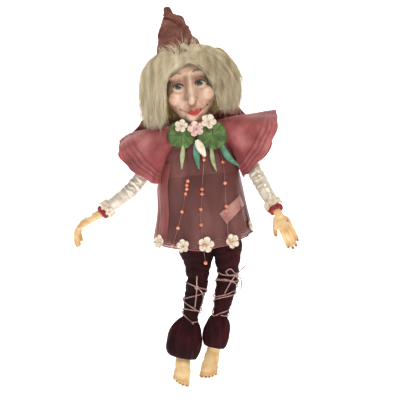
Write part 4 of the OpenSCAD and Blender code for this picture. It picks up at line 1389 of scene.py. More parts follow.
def flower_places(centre: Array, facing: Array, radius: float, spin: float) -> list:
    """Places of the five petals and the knotted heart of one flower.

    Args:
        centre: Middle of the flower in the doll's frame.
        facing: Direction that the flower faces.
        radius: Radius over the petals.
        spin: Turn about the facing direction, in degrees.

    Returns:
        Origin, axes and size of each part.
    """
    z = unit(facing)
    x = unit(np.cross([0.1, 0.2, 1.0], z))
    y = np.cross(z, x)
    out = []
    for k in range(5):
        a = math.radians(72 * k + spin)
        u = math.cos(a) * x + math.sin(a) * y
        out.append((centre, np.column_stack([u, np.cross(z, u), z]), (radius, radius * 0.98, radius)))
    for k in range(4):
        a = math.radians(90 * k + spin + 20)
        u = math.cos(a) * x + math.sin(a) * y
        out.append((centre + u * radius * 0.1 + z * radius * 0.16, np.column_stack([u, np.cross(z, u), z]),
                    (radius * 0.24, radius * 0.3, radius * 0.9)))
    return out


@dataclass
class Collar:
    """Felt leaves, ribbon sepals, a lace leaf and crocheted flowers at the neck."""

    shop: Workshop
    leaves: tuple = (((-18.2, 6.0), 16.0, -22.6, 8.0), ((15.8, 1.6), 16.4, -23.6, -6.0), ((-17, 8), 13.0, 28.5, 0.0),
                     ((17, 8), 13.0, 28.5, 0.0))
    sepals: tuple = (((-18.0, -6.5), (-20.5, -20), (-22.7, -33.0), 5.4, False),
                     ((-4.0, -4.5), (-4.4, -20), (-3.2, -35.0), 7.2, True),
                     ((12.9, -11), (13.2, -26), (16.2, -39.4), 5.0, False),
                     ((24.6, -9), (30.5, -24), (42.0, -36.2), 7.6, True))
    flowers: tuple = ((-17.7, 15.0, 7.4, 10.0), (-2.0, 10.0, 8.9, 40.0), (12.8, 16.8, 8.4, 0.0))

    def build(self) -> None:
        """Make each ornament and sew it to the torso."""
        shop, rig = self.shop, self.shop.rig
        for k, (centre, radius, depth, tilt) in enumerate(self.leaves):
            leaf = shop.cloth(f"felt_leaf_{k + 1}", self._leaf(centre, radius, depth, tilt), LEAF_FELT, 1.1)
            dress(leaf, "torso", "green_felt", *(("collar_leaves",) if k == 0 else ()))
        for k, (root, middle, tip, width, teal) in enumerate(self.sepals):
            path = curve_points([(root[0], rig.mid_y - 25.0, root[1]), (middle[0], rig.mid_y - 27.2, middle[1]),
                                 (tip[0], rig.mid_y - 26.6 - (2.0 if k == 3 else 0), tip[1])], 22)
            ribbon = TEAL_RIBBON if teal else PALE_RIBBON
            sepal = shop.cloth(f"ribbon_sepal_{k + 1}", self._blade(path, width, 0.9), ribbon, 0.45)
            dress(sepal, "torso", "sepal_felt", *(("collar_sepals",) if k == 0 else ()))
        path = curve_points([(-2.4, rig.mid_y - 27.6, -2.0), (1.0, rig.mid_y - 29.4, -11),
                             (5.4, rig.mid_y - 28.8, -21.2)], 26)
        leaf = shop.cloth("lace_leaf_cut", self._blade(path, 8.6, 0.5, serrated=True), LACE, 0.9)
        dress(leaf, "torso", "cream_lace", "lace_leaf")
        outer, middle = [], []
        for k, (x, z, r, spin) in enumerate(self.flowers):
            centre = rig.body.world([(x, rig.mid_y - 26.4, z)])[0]
            facing = rig.body.axes @ np.array([x * 0.012, -1.0, 0.28])
            (middle if k == 1 else outer).extend(flower_places(centre, facing, r, spin))
        dress(shop.repeats.make("neck_flowers_cream", petal(), outer, shop.use(LACE)), "torso", "cream_lace",
              "neck_flowers")
        dress(shop.repeats.make("neck_flower_blush", petal(), middle, shop.use(PINK_LACE)), "torso", "cream_lace")

    def _leaf(self, centre: tuple, radius: float, depth: float, tilt: float) -> Sheet:
        """Round felt leaf with a cut towards its top, ribs pressed in and a wavy edge."""
        rows, columns = 14, 72
        a = np.radians(np.linspace(99, 99 + 346, columns))
        points, shade = [], []
        for r in np.linspace(0.02, 1, rows):
            q = radius * r * (1 + 0.025 * np.sin(5 * a + radius) * r)
            vein = np.exp(-((((np.degrees(a) + 10) % 40) - 20) / 3.2) ** 2) * smooth(0.05, 0.3, r)
            y = 1.1 * np.sin(3 * a + depth) * r**2 - 1.4 * (1 - r**2) + 0.5 * vein
            x, z = q * np.cos(a), q * np.sin(a)
            c, s = math.cos(math.radians(tilt)), math.sin(math.radians(tilt))
            sign = 1 if depth < 0 else -1
            points.append(np.column_stack([centre[0] + c * x - s * z,
                                           self.shop.rig.mid_y + depth + y * sign + 0.10 * sign * z,
                                           centre[1] + s * x + c * z]))
            # Painted shade along the pressed ribs; the tone is also darker towards the rim and varies round the leaf
            tone = np.clip(1.05 - 0.45 * vein - 0.35 * smooth(0.86, 1.0, r) + 0.1 * np.sin(7 * a), 0.3, 1.2)
            shade.append(np.column_stack([tone, tone, tone, np.ones(columns)]))
        faces = grid_faces(rows, columns, False)
        return Sheet(self.shop.rig.body.world(np.vstack(points)), faces, {"leaf_paint": np.vstack(shade)})

    def _blade(self, path: Array, width: float, point: float, serrated: bool = False) -> Sheet:
        """Pointed leaf along a path, creased down its middle."""
        n, across = len(path), 9
        t = np.linspace(0, 1, n)
        half = width / 2 * (0.45 + 0.62 * np.sin(np.clip(t * 1.5, 0, 1) * math.pi / 1.55)) * (1 - t**2.6) ** point
        if serrated:
            half = width / 2 * np.sin(np.clip(t * 0.92 + 0.08, 0, 1) * math.pi) ** 0.7 * (1 + 0.16 * np.sin(t * 60))
        side = np.gradient(path, axis=0)
        side = np.cross(side, [0, 1, 0])
        side /= np.linalg.norm(side, axis=1)[:, None]
        points = []
        for k in range(n):
            for u in np.linspace(-1, 1, across):
                rib = 0.09 * math.cos(u * 14) if serrated else 0.0
                points.append(path[k] + side[k] * half[k] * u + np.array([0, 0.16 * width * abs(u) - 0.3 + rib, 0]))
        return Sheet(self.shop.rig.body.world(points), grid_faces(n, across, False))


@dataclass
class Trim:
    """Coral beads on three threads, and the crocheted flowers along the hem."""

    shop: Workshop
    bead_radius: float = 2.1
    threads: tuple = (
        ((-15.5, -42), (-17.2, -46.7), (-18.8, -51.1), (-19.3, -55.7), (-21, -60.7), (-27.1, -80.3), (-33.6, -98.1),
         (-42, -117.5)),
        ((3.8, -20.5), (3.6, -24.6), (-2.2, -57.5), (-2.7, -62.7), (-5.7, -79.7), (-7.5, -96.9), (-7.5, -119.4),
         (-6.8, -139.7)),
        ((21.8, -10.9), (24.5, -29.1), (24.3, -53.4), (22.7, -79.2), (22.2, -84.4), (21.6, -117.8), (22.3, -121.9)),
    )
    bare_starts: tuple = (0,)
    flowers: tuple = ((-55.3, -111.5, 7.6, 216.0, 5.0), (-29.4, -118.8, 7.4, 244.0, 30.0),
                      (-4.1, -119.8, 8.6, 271.0, 12.0), (24.9, -119.3, 8.0, 303.0, 50.0),
                      (51.4, -104.2, 6.6, 350.0, 0.0), (34.0, -112.0, 7.0, 52.0, 0.0),
                      (-36.0, -113.0, 7.0, 125.0, 20.0))

    def build(self) -> None:
        """String the beads and sew the flowers on."""
        shop, rig = self.shop, self.shop.rig
        shape = TunicShape(rig.mid_y)
        bead = blob((0, 0, 0), (self.bead_radius,) * 3, None, 8, 12)
        for k, thread in enumerate(self.threads):
            route = [(x, shape.front(x, max(z, -122)) - self.bead_radius, z) for x, z in thread]
            places = [(rig.body.world([q])[0], rig.body.axes @ turn("x", 20.0 * j), (1.0, 1.0, 1.0))
                      for j, q in enumerate(route[1:] if k in self.bare_starts else route)]
            path = rig.body.world(curve_points(route, 60))
            line = shop.piece(f"bead_thread_{k + 1}", tube(path, 0.2, 6), BEAD_THREAD)
            dress(line, "torso", "cream_thread", *(("bead_threads",) if k == 0 else ()))
            beads = shop.repeats.make(f"coral_beads_{k + 1}", bead, places, shop.use(CORAL_PEARL))
            dress(beads, "torso", "coral_bead", *(("beads",) if k == 0 else ()))
        petals = []
        for x, z, r, angle, spin in self.flowers:
            a = math.radians(angle)
            q = shape.ring(0.97, np.array([a]), 1.6)[0]
            centre = rig.body.world([(x if abs(angle - 270) < 80 else q[0], q[1], z)])[0]
            out = rig.body.axes @ np.array([math.cos(a) * 0.8, math.sin(a), 0.12])
            petals += flower_places(centre, out, r, spin)
        dress(shop.repeats.make("hem_flowers_cream", petal(), petals, shop.use(LACE)), "torso", "cream_lace",
              "hem_flowers")


# ---- Sleeves, arms and hands --------------------------------------------------------------


@dataclass
class ButterflySleeve:
    """Bell of organza with three tucks along its edge and a deep red lining.

    Each row is distance out, height, half depth, half height, slant and shift to the front.
    """

    shop: Workshop
    side: Side
    depth: float = 46.0
    tucks: tuple = (3.2, 6.6, 10.8)

    def rows(self) -> tuple:
        """Rings from the armhole out to the edge."""
        if self.side is Side.LEFT:
            return ((24, 6.5, 13, 13.5, 0, 0), (37, 4, 17, 18, 2, 2), (48, -0.5, 20, 23, 9, 4),
                    (60, -6.5, 26, 29.5, 18, 9), (68, -13, 29, 35.5, 22, 12))
        return ((24, 5, 13, 13.5, 0, 0), (37, 1.5, 17, 17, 2, 1), (49, -3.5, 21, 21, 8, 3),
                (61.5, -10.5, 26, 25, 15, 6), (69, -20.5, 28, 27.5, 20, 9))

    def build(self) -> None:
        """Make the bell, its lining and the rolled edge."""
        shop, rig, word, s = self.shop, self.shop.rig, self.side.word, self.side.value
        along, around = 70, 168
        outer = self._bell(along, around, 0.0, 1.0, 1.0)
        bell = shop.cloth(f"butterfly_sleeve_{word}", outer, SLEEVE_ORGANZA_TUCKED, 0.45)
        lining = self._bell(50, 132, -1.5, 1.03 if self.side is Side.RIGHT else 0.99, 1.25)
        inside = shop.cloth(f"sleeve_lining_{word}", lining, RED_SILK, 0.3)
        start = rig.body.world([(s * 34, rig.mid_y, 0)])[0] * MM
        end = rig.body.world([(s * 88, rig.mid_y, -14)])[0] * MM
        pieces = [(bell, "rose_organza"), (inside, "red_lining")]
        for k, (part, shrink) in enumerate(((1.0, 0.0), (0.955, 0.6))):
            edge = self._ring(part, np.linspace(0, 2 * math.pi, 200), shrink * 0.4)
            roll = shop.piece(f"sleeve_edge_{k + 1}_{word}", tube(edge, 0.75 - 0.2 * k, 8, rig.body), SLEEVE_ORGANZA)
            pieces.append((roll, "rose_organza"))
        for obj, slot in pieces:
            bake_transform(obj)
        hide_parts(f"flutter_sleeve_{word}")
        cut_flat(inside, lining, 180, f"shoulder_link_{word}")

    def _ring(self, t: float, a: Array, gap: float, wave: float = 1.0) -> Array:
        """One ring of the bell in the body's frame."""
        out, z, deep, high, slant, shift = row_at(self.rows(), t)
        loose = t**2.2 * wave
        roll = loose * (1.7 * np.sin(5 * a + 1.0) + 1.1 * np.sin(8 * a + 2.5) + 0.6 * np.sin(13 * a + 4))
        bulge = (12.0 if self.side is Side.LEFT else 13.0) * t**3 * np.where(np.sin(a) < 0, 1.0, 0.35) * np.sin(a) ** 2
        up = (high + gap + roll * 0.5) * np.cos(a)
        x = out + slant * up / high + bulge + loose * 0.8 * np.sin(9 * a)
        return np.column_stack([self.side.value * x, self.shop.rig.mid_y - shift + (deep + gap + roll) * np.sin(a),
                                z + up])

    def _bell(self, along: int, around: int, gap: float, reach: float, wave: float) -> Sheet:
        """The whole bell, with its tucks as ridges and their shadow as a tone."""
        a = circle(around)
        points, tones = [], []
        for t in np.linspace(0, reach, along):
            edge = (1 - t) * self.depth
            tuck = sum(float(np.exp(-((edge - d) / 0.9) ** 2)) for d in self.tucks)
            # Painted shadow just below each tuck, as a darker tone
            dark = sum(float(np.exp(-((edge - d - 1.1) / 0.7) ** 2)) for d in self.tucks)
            points.append(self._ring(t, a, gap + 0.55 * tuck, wave))
            tone = np.full(around, 1 - 0.34 * min(dark, 1.0)) * (0.93 + 0.07 * np.sin(3 * a + 5 * t))
            tones.append(np.column_stack([tone, tone, tone, np.ones(around)]))
        sheet = Sheet(self.shop.rig.body.world(np.vstack(points)), grid_faces(along, around, True))
        sheet.shades["fold_paint"] = np.vstack(tones)
        return sheet


@dataclass
class Arm:
    """Satin sleeve over the elbow, gathered cuff, its flowers and the clay hand.

    Cuff flowers are angle, height and radius; fingers are x, length and how far they lean aside.
    """

    shop: Workshop
    side: Side
    around: int = 64
    radii: tuple = ((-10, 8.8), (-24, 8.9), (-40, 8.2), (-52, 8.3), (-58, 8.4), (-66, 8.2), (-80, 7.8), (-92, 7.2),
                    (-99, 6.3))
    cuff_flowers: tuple = ((-90, -38.4, 6.0), (-155, -39.0, 5.2), (-25, -39.2, 5.2), (150, -39, 4.8), (60, -39, 4.8))
    fingers: tuple = ((-5.9, 24, 1.6), (-2.0, 27, 0.5), (2.0, 25.5, -0.8), (5.7, 20.5, -2.6))

    def build(self) -> None:
        """Make the arm from the shoulder to the finger tips."""
        shop, rig, word = self.shop, self.shop.rig, self.side.word
        upper, lower, length = rig.upper_arm(self.side), rig.forearm(self.side), rig.upper_arm_length(self.side)
        route = [upper.world([(0, 0, z)])[0] for z in (-8, -22, -38, -length + 7)]
        route += [lower.world([(0, 0, z)])[0] for z in (-7, -18, -30, -43)]
        path = curve_points(route, 110)
        run = run_of(path) + 8
        radius = np.interp(run, [-r[0] for r in self.radii], [r[1] for r in self.radii])
        sheet = tube(path, radius, self.around)
        axis = np.repeat(path, self.around, axis=0)
        out = sheet.points - axis
        out /= np.linalg.norm(out, axis=1)[:, None]
        along = np.repeat(run, self.around)
        bend = np.exp(-(((along - length) / 13) ** 2))
        seed = 40 if self.side is Side.LEFT else 51
        coarse, fine, soft = (ripple(sheet.points, size, seed + k) for k, size in enumerate((22, 15, 17)))
        rings = np.sin(along * 0.75 + 2.2 * coarse) * 0.4 + np.sin(along * 1.35 + 3 * fine) * 0.28
        sheet.points = sheet.points + out * (rings * (0.35 + 1.1 * bend) + 0.4 * soft)[:, None]
        sleeve = shop.piece(f"satin_sleeve_{word}", sheet, PEARL_SATIN)
        upper.world([(0, 0, -length + 11)])[0] * MM
        lower.world([(0, 0, -11)])[0] * MM
        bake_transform(sleeve)
        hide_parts(f"upper_sleeve_{word}", f"lower_sleeve_{word}")
        self._cuff(lower)
        self._hand()

    def _cuff(self, lower: Place) -> None:
        """Gathered crimson cuff and the cluster of flowers above it."""
        word, shop = self.side.word, self.shop
        around, rows = 120, 26
        a = circle(around)
        points = []
        for t in np.linspace(0, 2 * math.pi, rows, endpoint=False):
            gather = 0.5 * np.sin(19 * a + 1.5 * np.sin(2 * a)) + 0.3 * np.sin(31 * a)
            r = 6.5 + (1.5 + gather * 0.8) * math.cos(t)
            z = -45.4 + (2.9 + 0.35 * gather) * math.sin(t)
            points.append(np.column_stack([r * np.cos(a), r * np.sin(a), np.broadcast_to(z, a.shape)]))
        cuff = Sheet(lower.world(np.vstack(points)), grid_faces(rows, around, True, True))
        dress(shop.piece(f"silk_cuff_{word}", cuff, CRIMSON_SILK), f"forearm_{word}", "crimson_silk", f"cuff_{word}")
        petals = []
        for k, (angle, z, r) in enumerate(self.cuff_flowers):
            t = math.radians(angle)
            facing = lower.axes @ np.array([math.cos(t), math.sin(t), 0.1])
            petals += flower_places(lower.world([(8.0 * math.cos(t), 8.0 * math.sin(t), z)])[0], facing, r, 25.0 * k)
        flowers = shop.repeats.make(f"cuff_flowers_lace_{word}", petal(), petals, shop.use(LACE))
        dress(flowers, f"forearm_{word}", "cream_lace", f"cuff_flowers_{word}")

    def _hand(self) -> None:
        """Clay hand: palm, bent fingers and thumb as one skin, with nails and the string hole."""
        place, word, shop = self.shop.rig.hand(self.side), self.side.word, self.shop
        curl = 9.0 if self.side is Side.LEFT else 30.0
        if self.side is Side.RIGHT:
            place = Place(place.origin, place.axes * 1.14)
        mass = blob((0, 0, -3), (4.6, 4.0, 8), place, 14, 20)
        mass += tube(curve_points([(0, 0, 6), (0, 0, -2), (0.2, 0.2, -10)], 12), 4.5, 16, place)
        mass += blob((0.2, 0.3, -16.5), (8.6, 3.3, 9.5), place, 16, 26)
        mass += blob((-5.2, 1.6, -13), (3.4, 3.2, 6.5), place, 12, 16, turn("y", 20))
        nails = []
        for k, (x, length, aside) in enumerate(self.fingers):
            bend = curl * (1 + 0.08 * k)
            a = math.radians(bend)
            b = a + math.radians(bend * 0.7 + 6)
            c = b + math.radians(bend * 0.35 + 4)
            root = np.array([x, 0.4, -21.5])
            lean = math.sin(math.radians(-aside))
            j1 = root + np.array([lean, math.sin(a), -math.cos(a)]) * length * 0.42
            j2 = j1 + np.array([lean, math.sin(b), -math.cos(b)]) * length * 0.3
            tip = j2 + np.array([0, math.sin(c), -math.cos(c)]) * length * 0.28
            path = curve_points([root - np.array([0, 0.3, -5]), root, j1, j2, tip], 30)
            t = np.linspace(0, 1, 30)
            radius = 2.5 - 0.75 * t + 0.22 * np.exp(-(((t - 0.52) / 0.05) ** 2))
            radius += 0.16 * np.exp(-(((t - 0.76) / 0.05) ** 2))
            radius[-3:] *= (0.92, 0.75, 0.4)
            mass += tube(path, radius, 14, place)
            mass += blob(root + np.array([0, -0.4, 0.5]), (2.5, 2.6, 2.8), place, 8, 12)
            back = np.array([0, -math.cos(c), -math.sin(c)])
            nails.append((place.world([tip - (tip - j2) * 0.28 + back * 1.3])[0],
                          place.axes @ np.column_stack([[1, 0, 0], back, np.cross([1, 0, 0], back)]),
                          (1.25, 0.5, 2.1)))
        thumb = curve_points([(-3.6, 1.2, -7), (-8, 2.2, -14), (-11.4, 3.0, -20.5), (-13.6, 4.0, -27.5)], 26)
        mass += tube(thumb, np.interp(np.linspace(0, 1, 26), [0, 0.5, 0.62, 0.9, 1], [3.4, 2.7, 2.8, 2.2, 0.9]), 14,
                     place)
        nails.append((place.world([(-13.2, 2.4, -25.4)])[0], place.axes, (1.2, 0.5, 2.0)))
        hand = shop.piece(f"clay_hand_{word}", mass, LIMB_CLAY)
        fused(hand, 0.5, 5)
        wash_tips(hand, [n[0] for n in nails], 4.6, "#b98a58")
        dress(hand, f"forearm_{word}", "ivory_clay", f"hand_{word}")
        nail = blob((0, 0, 0), (1, 1, 1), None, 6, 10)
        made = shop.repeats.make(f"finger_nails_{word}", nail, nails, shop.use(NAIL_STAIN))
        dress(made, f"forearm_{word}", "ivory_clay")
        hole = place.world([(4.6, -3.45, -18)])[0]
        ring = [hole + place.axes @ np.array([0.85 * math.cos(t), 0, 0.85 * math.sin(t)])
                for t in np.linspace(0, 2 * math.pi, 25)]
        dress(shop.piece(f"string_hole_rim_{word}", tube(np.array(ring), 0.32, 6), NAIL_STAIN),
              f"forearm_{word}", "ivory_clay")


def fused(obj: bpy.types.Object, voxel: float, rounds: int) -> bpy.types.Object:
    """Melt overlapping shapes to one skin and smooth it."""
    m = obj.modifiers.new("melt", "REMESH")
    m.mode, m.voxel_size, m.use_smooth_shade = "VOXEL", voxel * MM, True
    m = obj.modifiers.new("rub", "SMOOTH")
    m.factor, m.iterations = 0.6, rounds
    return bake_modifiers(obj)


def wash_tips(obj: bpy.types.Object, tips: Sequence[Array], reach: float, code: str) -> None:
    """Lay a darker wash on the clay near the tips."""
    mesh = obj.data
    co = np.empty(len(mesh.vertices) * 3, np.float32)
    mesh.vertices.foreach_get("co", co)
    p = co.reshape(-1, 3) / MM
    near_tip = np.zeros(len(p))
    for tip in tips:
        near_tip = np.maximum(near_tip, np.exp(-np.sum((p - tip) ** 2, axis=1) / reach**2))
    tone = np.array(srgb(code)) / np.array(srgb("#dcb982"))
    colour = 1 - near_tip[:, None] * (1 - np.clip(tone, 0, 1)) * 0.9
    colour[:, 3] = 1
    add_attribute(mesh, "limb_paint", "FLOAT_COLOR", colour)


# ---- Legs, feet and laces -----------------------------------------------------------------


def creased_tube(path: Array, radii: Array, around: int, seed: int, depth: Array) -> Sheet:
    """Cloth tube with soft creases across it.

    Args:
        path: Points along the middle, in the doll's frame.
        radii: Half width and half depth at each point.
        around: Points round it.
        seed: Seed of the creases.
        depth: Depth of the creases at each point.

    Returns:
        The closed tube.
    """
    a = circle(around)
    t = np.gradient(path, axis=0)
    t /= np.linalg.norm(t, axis=1)[:, None]
    rings, outs = [], []
    for k in range(len(path)):
        y = unit(np.array([0.0, 1.0, 0.0]) - t[k] * t[k][1])
        x = np.cross(t[k], y) * -1
        out = np.cos(a)[:, None] * x * radii[k, 0] + np.sin(a)[:, None] * y * radii[k, 1]
        rings.append(path[k] + out)
        outs.append(out / np.linalg.norm(out, axis=1)[:, None])
    p, o = np.vstack(rings), np.vstack(outs)
    run = np.repeat(run_of(path), around)
    crease = np.sin(run * 0.55 + 2.6 * ripple(p, 30, seed)) * 0.6 + ripple(p, 14, seed + 1) * 0.8
    p = p + o * (crease * np.repeat(depth, around))[:, None]
    return Sheet(p, closed_faces(len(path), around))


@dataclass
class Leg:
    """Velvet trouser leg in two overlapping pieces, its flounce, laces and the clay foot.

    Toes are x towards the middle, length, radius and height of the root.
    """

    shop: Workshop
    side: Side
    thigh_radii: tuple = ((6, 15.0, 17.0), (-6, 17.4, 19.0), (-20, 18.6, 19.0), (-34, 17.6, 17.0), (-46, 14.4, 14.4),
                          (-63, 11.8, 12.2))
    thigh_width = {Side.RIGHT: 1.45, Side.LEFT: 0.95}
    thigh_shift = {Side.RIGHT: -2.4, Side.LEFT: 1.6}
    shin_radii: tuple = ((0, 11.8, 12.4), (-8, 12.0, 12.4), (-20, 11.6, 11.6), (-36, 9.8, 10.2), (-47, 8.0, 8.4))
    toes: tuple = ((6.9, 8.6, 3.3, -31.5), (2.4, 7.8, 2.4, -32.2), (-1.3, 7.0, 2.3, -31.6), (-4.7, 6.0, 2.2, -30.4),
                   (-7.9, 5.0, 2.1, -28.6))
    around: int = 96

    def build(self) -> None:
        """Make the leg from the hip to the toes."""
        shop, rig, word, s = self.shop, self.shop.rig, self.side.word, self.side.value
        thigh, shin = rig.thigh(self.side), rig.shin(self.side)
        knee = shin.origin
        shift, rings, narrow = s * self.thigh_shift[self.side], 56, self.shin_radii[0][1]
        hip_path = curve_points([thigh.world([(shift, 0, z)])[0] for z in (6, -10, -26, -40)], rings)
        z = np.linspace(6, -40, rings)
        sizes = np.array(self.thigh_radii)[::-1]
        sizes[:, 1] = narrow + (sizes[:, 1] - narrow) * self.thigh_width[self.side]
        radii = np.column_stack([np.interp(z, sizes[:, 0], sizes[:, k]) for k in (1, 2)])
        cloth = creased_tube(hip_path, radii, self.around, 60 + s, np.full(rings, 0.5))
        upper = shop.piece(f"velvet_thigh_{word}", cloth, PLUM_VELVET)
        thigh.world([(0, 0, 8)])[0] * MM
        thigh.world([(0, 0, -16)])[0] * MM
        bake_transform(upper)
        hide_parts(f"trouser_thigh_{word}")
        low = [thigh.world([(shift * part, 0, q)])[0] for part, q in ((1, -34), (0.7, -44), (0.3, -54))]
        low += [knee] + [shin.world([(0, 0, q)])[0] for q in (-12, -24, -36, -48)]
        path = curve_points(low, 120)
        drop = run_of(path)
        knee_run = float(drop[int(np.argmin(np.linalg.norm(path - knee, axis=1)))])
        q = knee_run - drop
        run = np.concatenate([sizes[:, 0] - sizes[0, 0], np.array(self.shin_radii)[1:, 0]])
        half = np.concatenate([sizes[:, 1:], np.array(self.shin_radii)[1:, 1:]])
        order = np.argsort(run)
        radii = np.column_stack([np.interp(q, run[order], half[order, k]) for k in (0, 1)])
        depth = 0.45 + 0.5 * np.exp(-((q / 16) ** 2))
        cloth = creased_tube(path, radii, self.around, 70 + s, depth)
        lower = shop.piece(f"velvet_shin_{word}", cloth, PLUM_VELVET)
        thigh.world([(0, 0, -50)])[0] * MM
        shin.world([(0, 0, -12)])[0] * MM
        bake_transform(lower)
        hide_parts(f"trouser_shin_{word}")
        self._flounce(shin)
        self._foot()
        self._laces(shin)

    def _flounce(self, shin: Place) -> None:
        """Bell gathered under the laces and turned in at its lower edge."""
        s, word = self.side.value, self.side.word
        if self.side is Side.LEFT:
            profile = ((7.8, -45), (8.0, -48.5), (10.2, -52), (12.2, -57), (13.4, -64), (13.8, -71), (13.2, -78),
                       (11.2, -83.5), (8.3, -82.5), (7.2, -78))
        else:
            profile = ((7.8, -44), (8.0, -47.5), (11.0, -51.5), (15.0, -59), (17.6, -68), (18.6, -77), (18.2, -86),
                       (15.4, -91.5), (9.5, -90), (7.4, -84))
        rows, around = 70, 150
        line = curve_points([(r, 0, z) for r, z in profile], rows)[:, [0, 2]]
        a = circle(around)
        points = []
        for k, (r, z) in enumerate(line):
            t = k / (rows - 1)
            swell = math.sin(math.pi * min(t * 1.25, 1.0)) ** 0.8
            fold = (1.5 * np.sin(4 * a + 0.8 * s + 0.06 * z) + 1.1 * np.sin(9 * a + 2 + 0.11 * z)
                    + 0.5 * np.sin(16 * a + 1 - 0.06 * z)) * swell
            fold += 0.45 * np.sin(22 * a) * math.exp(-(((z + 48) / 6) ** 2))
            wide = r * (1.0 + 0.07 * np.sin(a + 2.2 * s) * swell) + fold
            points.append(np.column_stack([wide * np.cos(a) - swell, wide * 0.94 * np.sin(a),
                                           z + 0.9 * np.sin(3 * a + s) * swell]))
        sheet = Sheet(shin.world(np.vstack(points)), grid_faces(rows, around, True))
        flounce = self.shop.cloth(f"velvet_flounce_{word}", sheet, PLUM_VELVET, 0.7)
        dress(flounce, f"shin_{word}", "plum_velvet", f"flounce_{word}")
        cut_flat(flounce, sheet, 100, f"foot_{word}")

    def _foot(self) -> None:
        """Clay foot with ankle bones, arch, five toes and stained nails."""
        place, word, s = self.shop.rig.foot(self.side), self.side.word, self.side.value
        mass = tube(curve_points([self.shop.rig.shin(self.side).world([(0, 0, z)])[0] for z in (-70, -76, -82)]
                                 + [place.world([(0, 0.5, -4)])[0]], 24), 7.2, 20)
        mass += blob((0, 1.8, -3), (7.9, 7.2, 10), place, 16, 24)
        mass += blob((0, 6.2, -4.0), (6.2, 5.8, 6.6), place, 14, 20)
        mass += blob((0, 1.8, -15), (9.0, 5.8, 17), place, 18, 26)
        mass += blob((-s * 1.0, 1.6, -25.5), (9.4, 4.4, 10.5), place, 16, 26)
        nails = []
        for aside, length, r, z0 in self.toes:
            x = -s * aside
            path = curve_points([(x * 0.9, 2.2, z0 + 6), (x * 0.97, 1.5, z0), (x, 1.5, z0 - length * 0.6),
                                 (x * 1.01, 2.7, z0 - length)], 20)
            radius = np.interp(np.linspace(0, 1, 20), [0, 0.5, 0.85, 1], [r, r * 0.94, r * 1.04, r * 0.6])
            mass += tube(path, radius, 14, place)
            mass += blob(path[-2], (r * 0.95, r * 0.9, r * 0.9), place, 8, 12)
            nails.append((place.world([path[-2] + np.array([0, -r * 0.78, -0.2])])[0], place.axes @ turn("x", 25),
                          (r * 0.62, 0.5, r * 0.72)))
        foot = self.shop.piece(f"clay_foot_{word}", mass, LIMB_CLAY)
        fused(foot, 0.5, 6)
        wash_tips(foot, [n[0] for n in nails], 3.4, "#c08f5c")
        dress(foot, f"shin_{word}", "ivory_clay", f"foot_{word}")
        nail = blob((0, 0, 0), (1, 1, 1), None, 6, 10)
        dress(self.shop.repeats.make(f"toe_nails_{word}", nail, nails, self.shop.use(NAIL_STAIN)), f"shin_{word}",
              "ivory_clay")

    def _leg_radius(self, z: float) -> float:
        """Radius of the cloth at one height below the knee."""
        if z >= 0:
            return float(np.interp(z, [0, 17], [12.1, 14.4]))
        rows = np.array(self.shin_radii)[::-1]
        return float(np.interp(z, rows[:, 0], rows[:, 1:].mean(axis=1)))

    def _wound(self, turns: Sequence[tuple[float, float]], shin: Place) -> Array:
        """Lace wound on the leg through places given as angle from the front and height."""
        out = []
        for a, z, _ in curve_points([(a, z, 0) for a, z in turns], 240):
            r = self._leg_radius(z) + 1.25
            t = math.radians(a)
            out.append((r * math.sin(t), -r * 1.02 * math.cos(t), z))
        return shin.world(out)

    def _laces(self, shin: Place) -> None:
        """Crossed suede laces and the bow."""
        word, shop = self.side.word, self.shop
        if self.side is Side.RIGHT:
            winds = (((4, -9), (-60, -7), (-180, -9), (-290, -13), (-360, -19.5), (-420, -25), (-540, -30),
                      (-640, -35), (-720, -36),
                      (-780, -37), (-900, -42), (-1000, -48), (-1080, -50.5), (-1130, -52)),
                     ((4, -9), (70, -11), (180, -20), (290, -28), (360, -33), (425, -37.5), (540, -40), (650, -42.5),
                      (720, -48.5),
                      (780, -54), (860, -54)))
            knot = (0.7, -9.5)
            free = (((-0.6, -4), (-1.7, 3.6)), ((5.6, -12.0), (9.6, -17.0), (10.2, -25.0), (8.9, -33.2)),
                    ((1.6, -18), (2.8, -32.0)))
        else:
            winds = (((40, 2), (-30, 0), (-70, 1.4), (-180, -1), (-290, -4), (-360, -5.5), (-430, -8), (-540, -14),
                      (-650, -19), (-720, -24.5),
                      (-785, -30.3), (-900, -38), (-1010, -45), (-1080, -46)),
                     ((40, 2), (75, -4), (180, -8), (300, -6.5), (360, -4.5), (430, -9), (540, -18), (640, -27),
                      (720, -22), (785, -16),
                      (900, -30), (1010, -48), (1080, -43), (1130, -38)))
            knot = (8.0, 3.0)
            free = (((12.0, 8.0), (16.0, 15.0)), ((13.5, 0.5), (16.0, -5.0), (16.5, -12)),
                    ((4.0, -6.0), (1.0, -15.0), (-0.5, -20)), ((1.0, 8.2), (-3.6, 4.2), (0.5, 1.0), knot))
        for k, wind in enumerate(winds):
            lace = shop.piece(f"suede_lace_{k + 1}_{word}", tube(self._wound(wind, shin), 0.62, 8), SUEDE_LACE)
            dress(lace, f"shin_{word}", "suede_lace", *((f"garter_{word}",) if k == 0 else ()))
        depth = -self._leg_radius(knot[1]) - 2.2
        centre = np.array([knot[0], depth * math.sqrt(max(1 - (knot[0] / 14) ** 2, 0.2)), knot[1]])
        ring = [centre + np.array([1.7 * math.cos(t), -0.8 * math.sin(2 * t), 1.4 * math.sin(t)])
                for t in np.linspace(0, 2 * math.pi, 20)]
        dress(shop.piece(f"lace_knot_{word}",
                          tube(np.array(ring), 1.0, 8, shin) + blob(centre, (1.9, 1.4, 1.7), shin),
                          SUEDE_LACE), f"shin_{word}", "suede_lace")
        for k, tail in enumerate(free):
            points = [(x, centre[1] - (0.6 if j else 0.0) - 1.2 * math.sin(min(j / 2.0, 1.5)), z)
                      for j, (x, z) in enumerate((knot, *tail))]
            path = shin.world(curve_points(points, 40))
            lace = shop.piece(f"lace_tail_{k + 1}_{word}", tube(path, 0.66, 8), SUEDE_LACE)
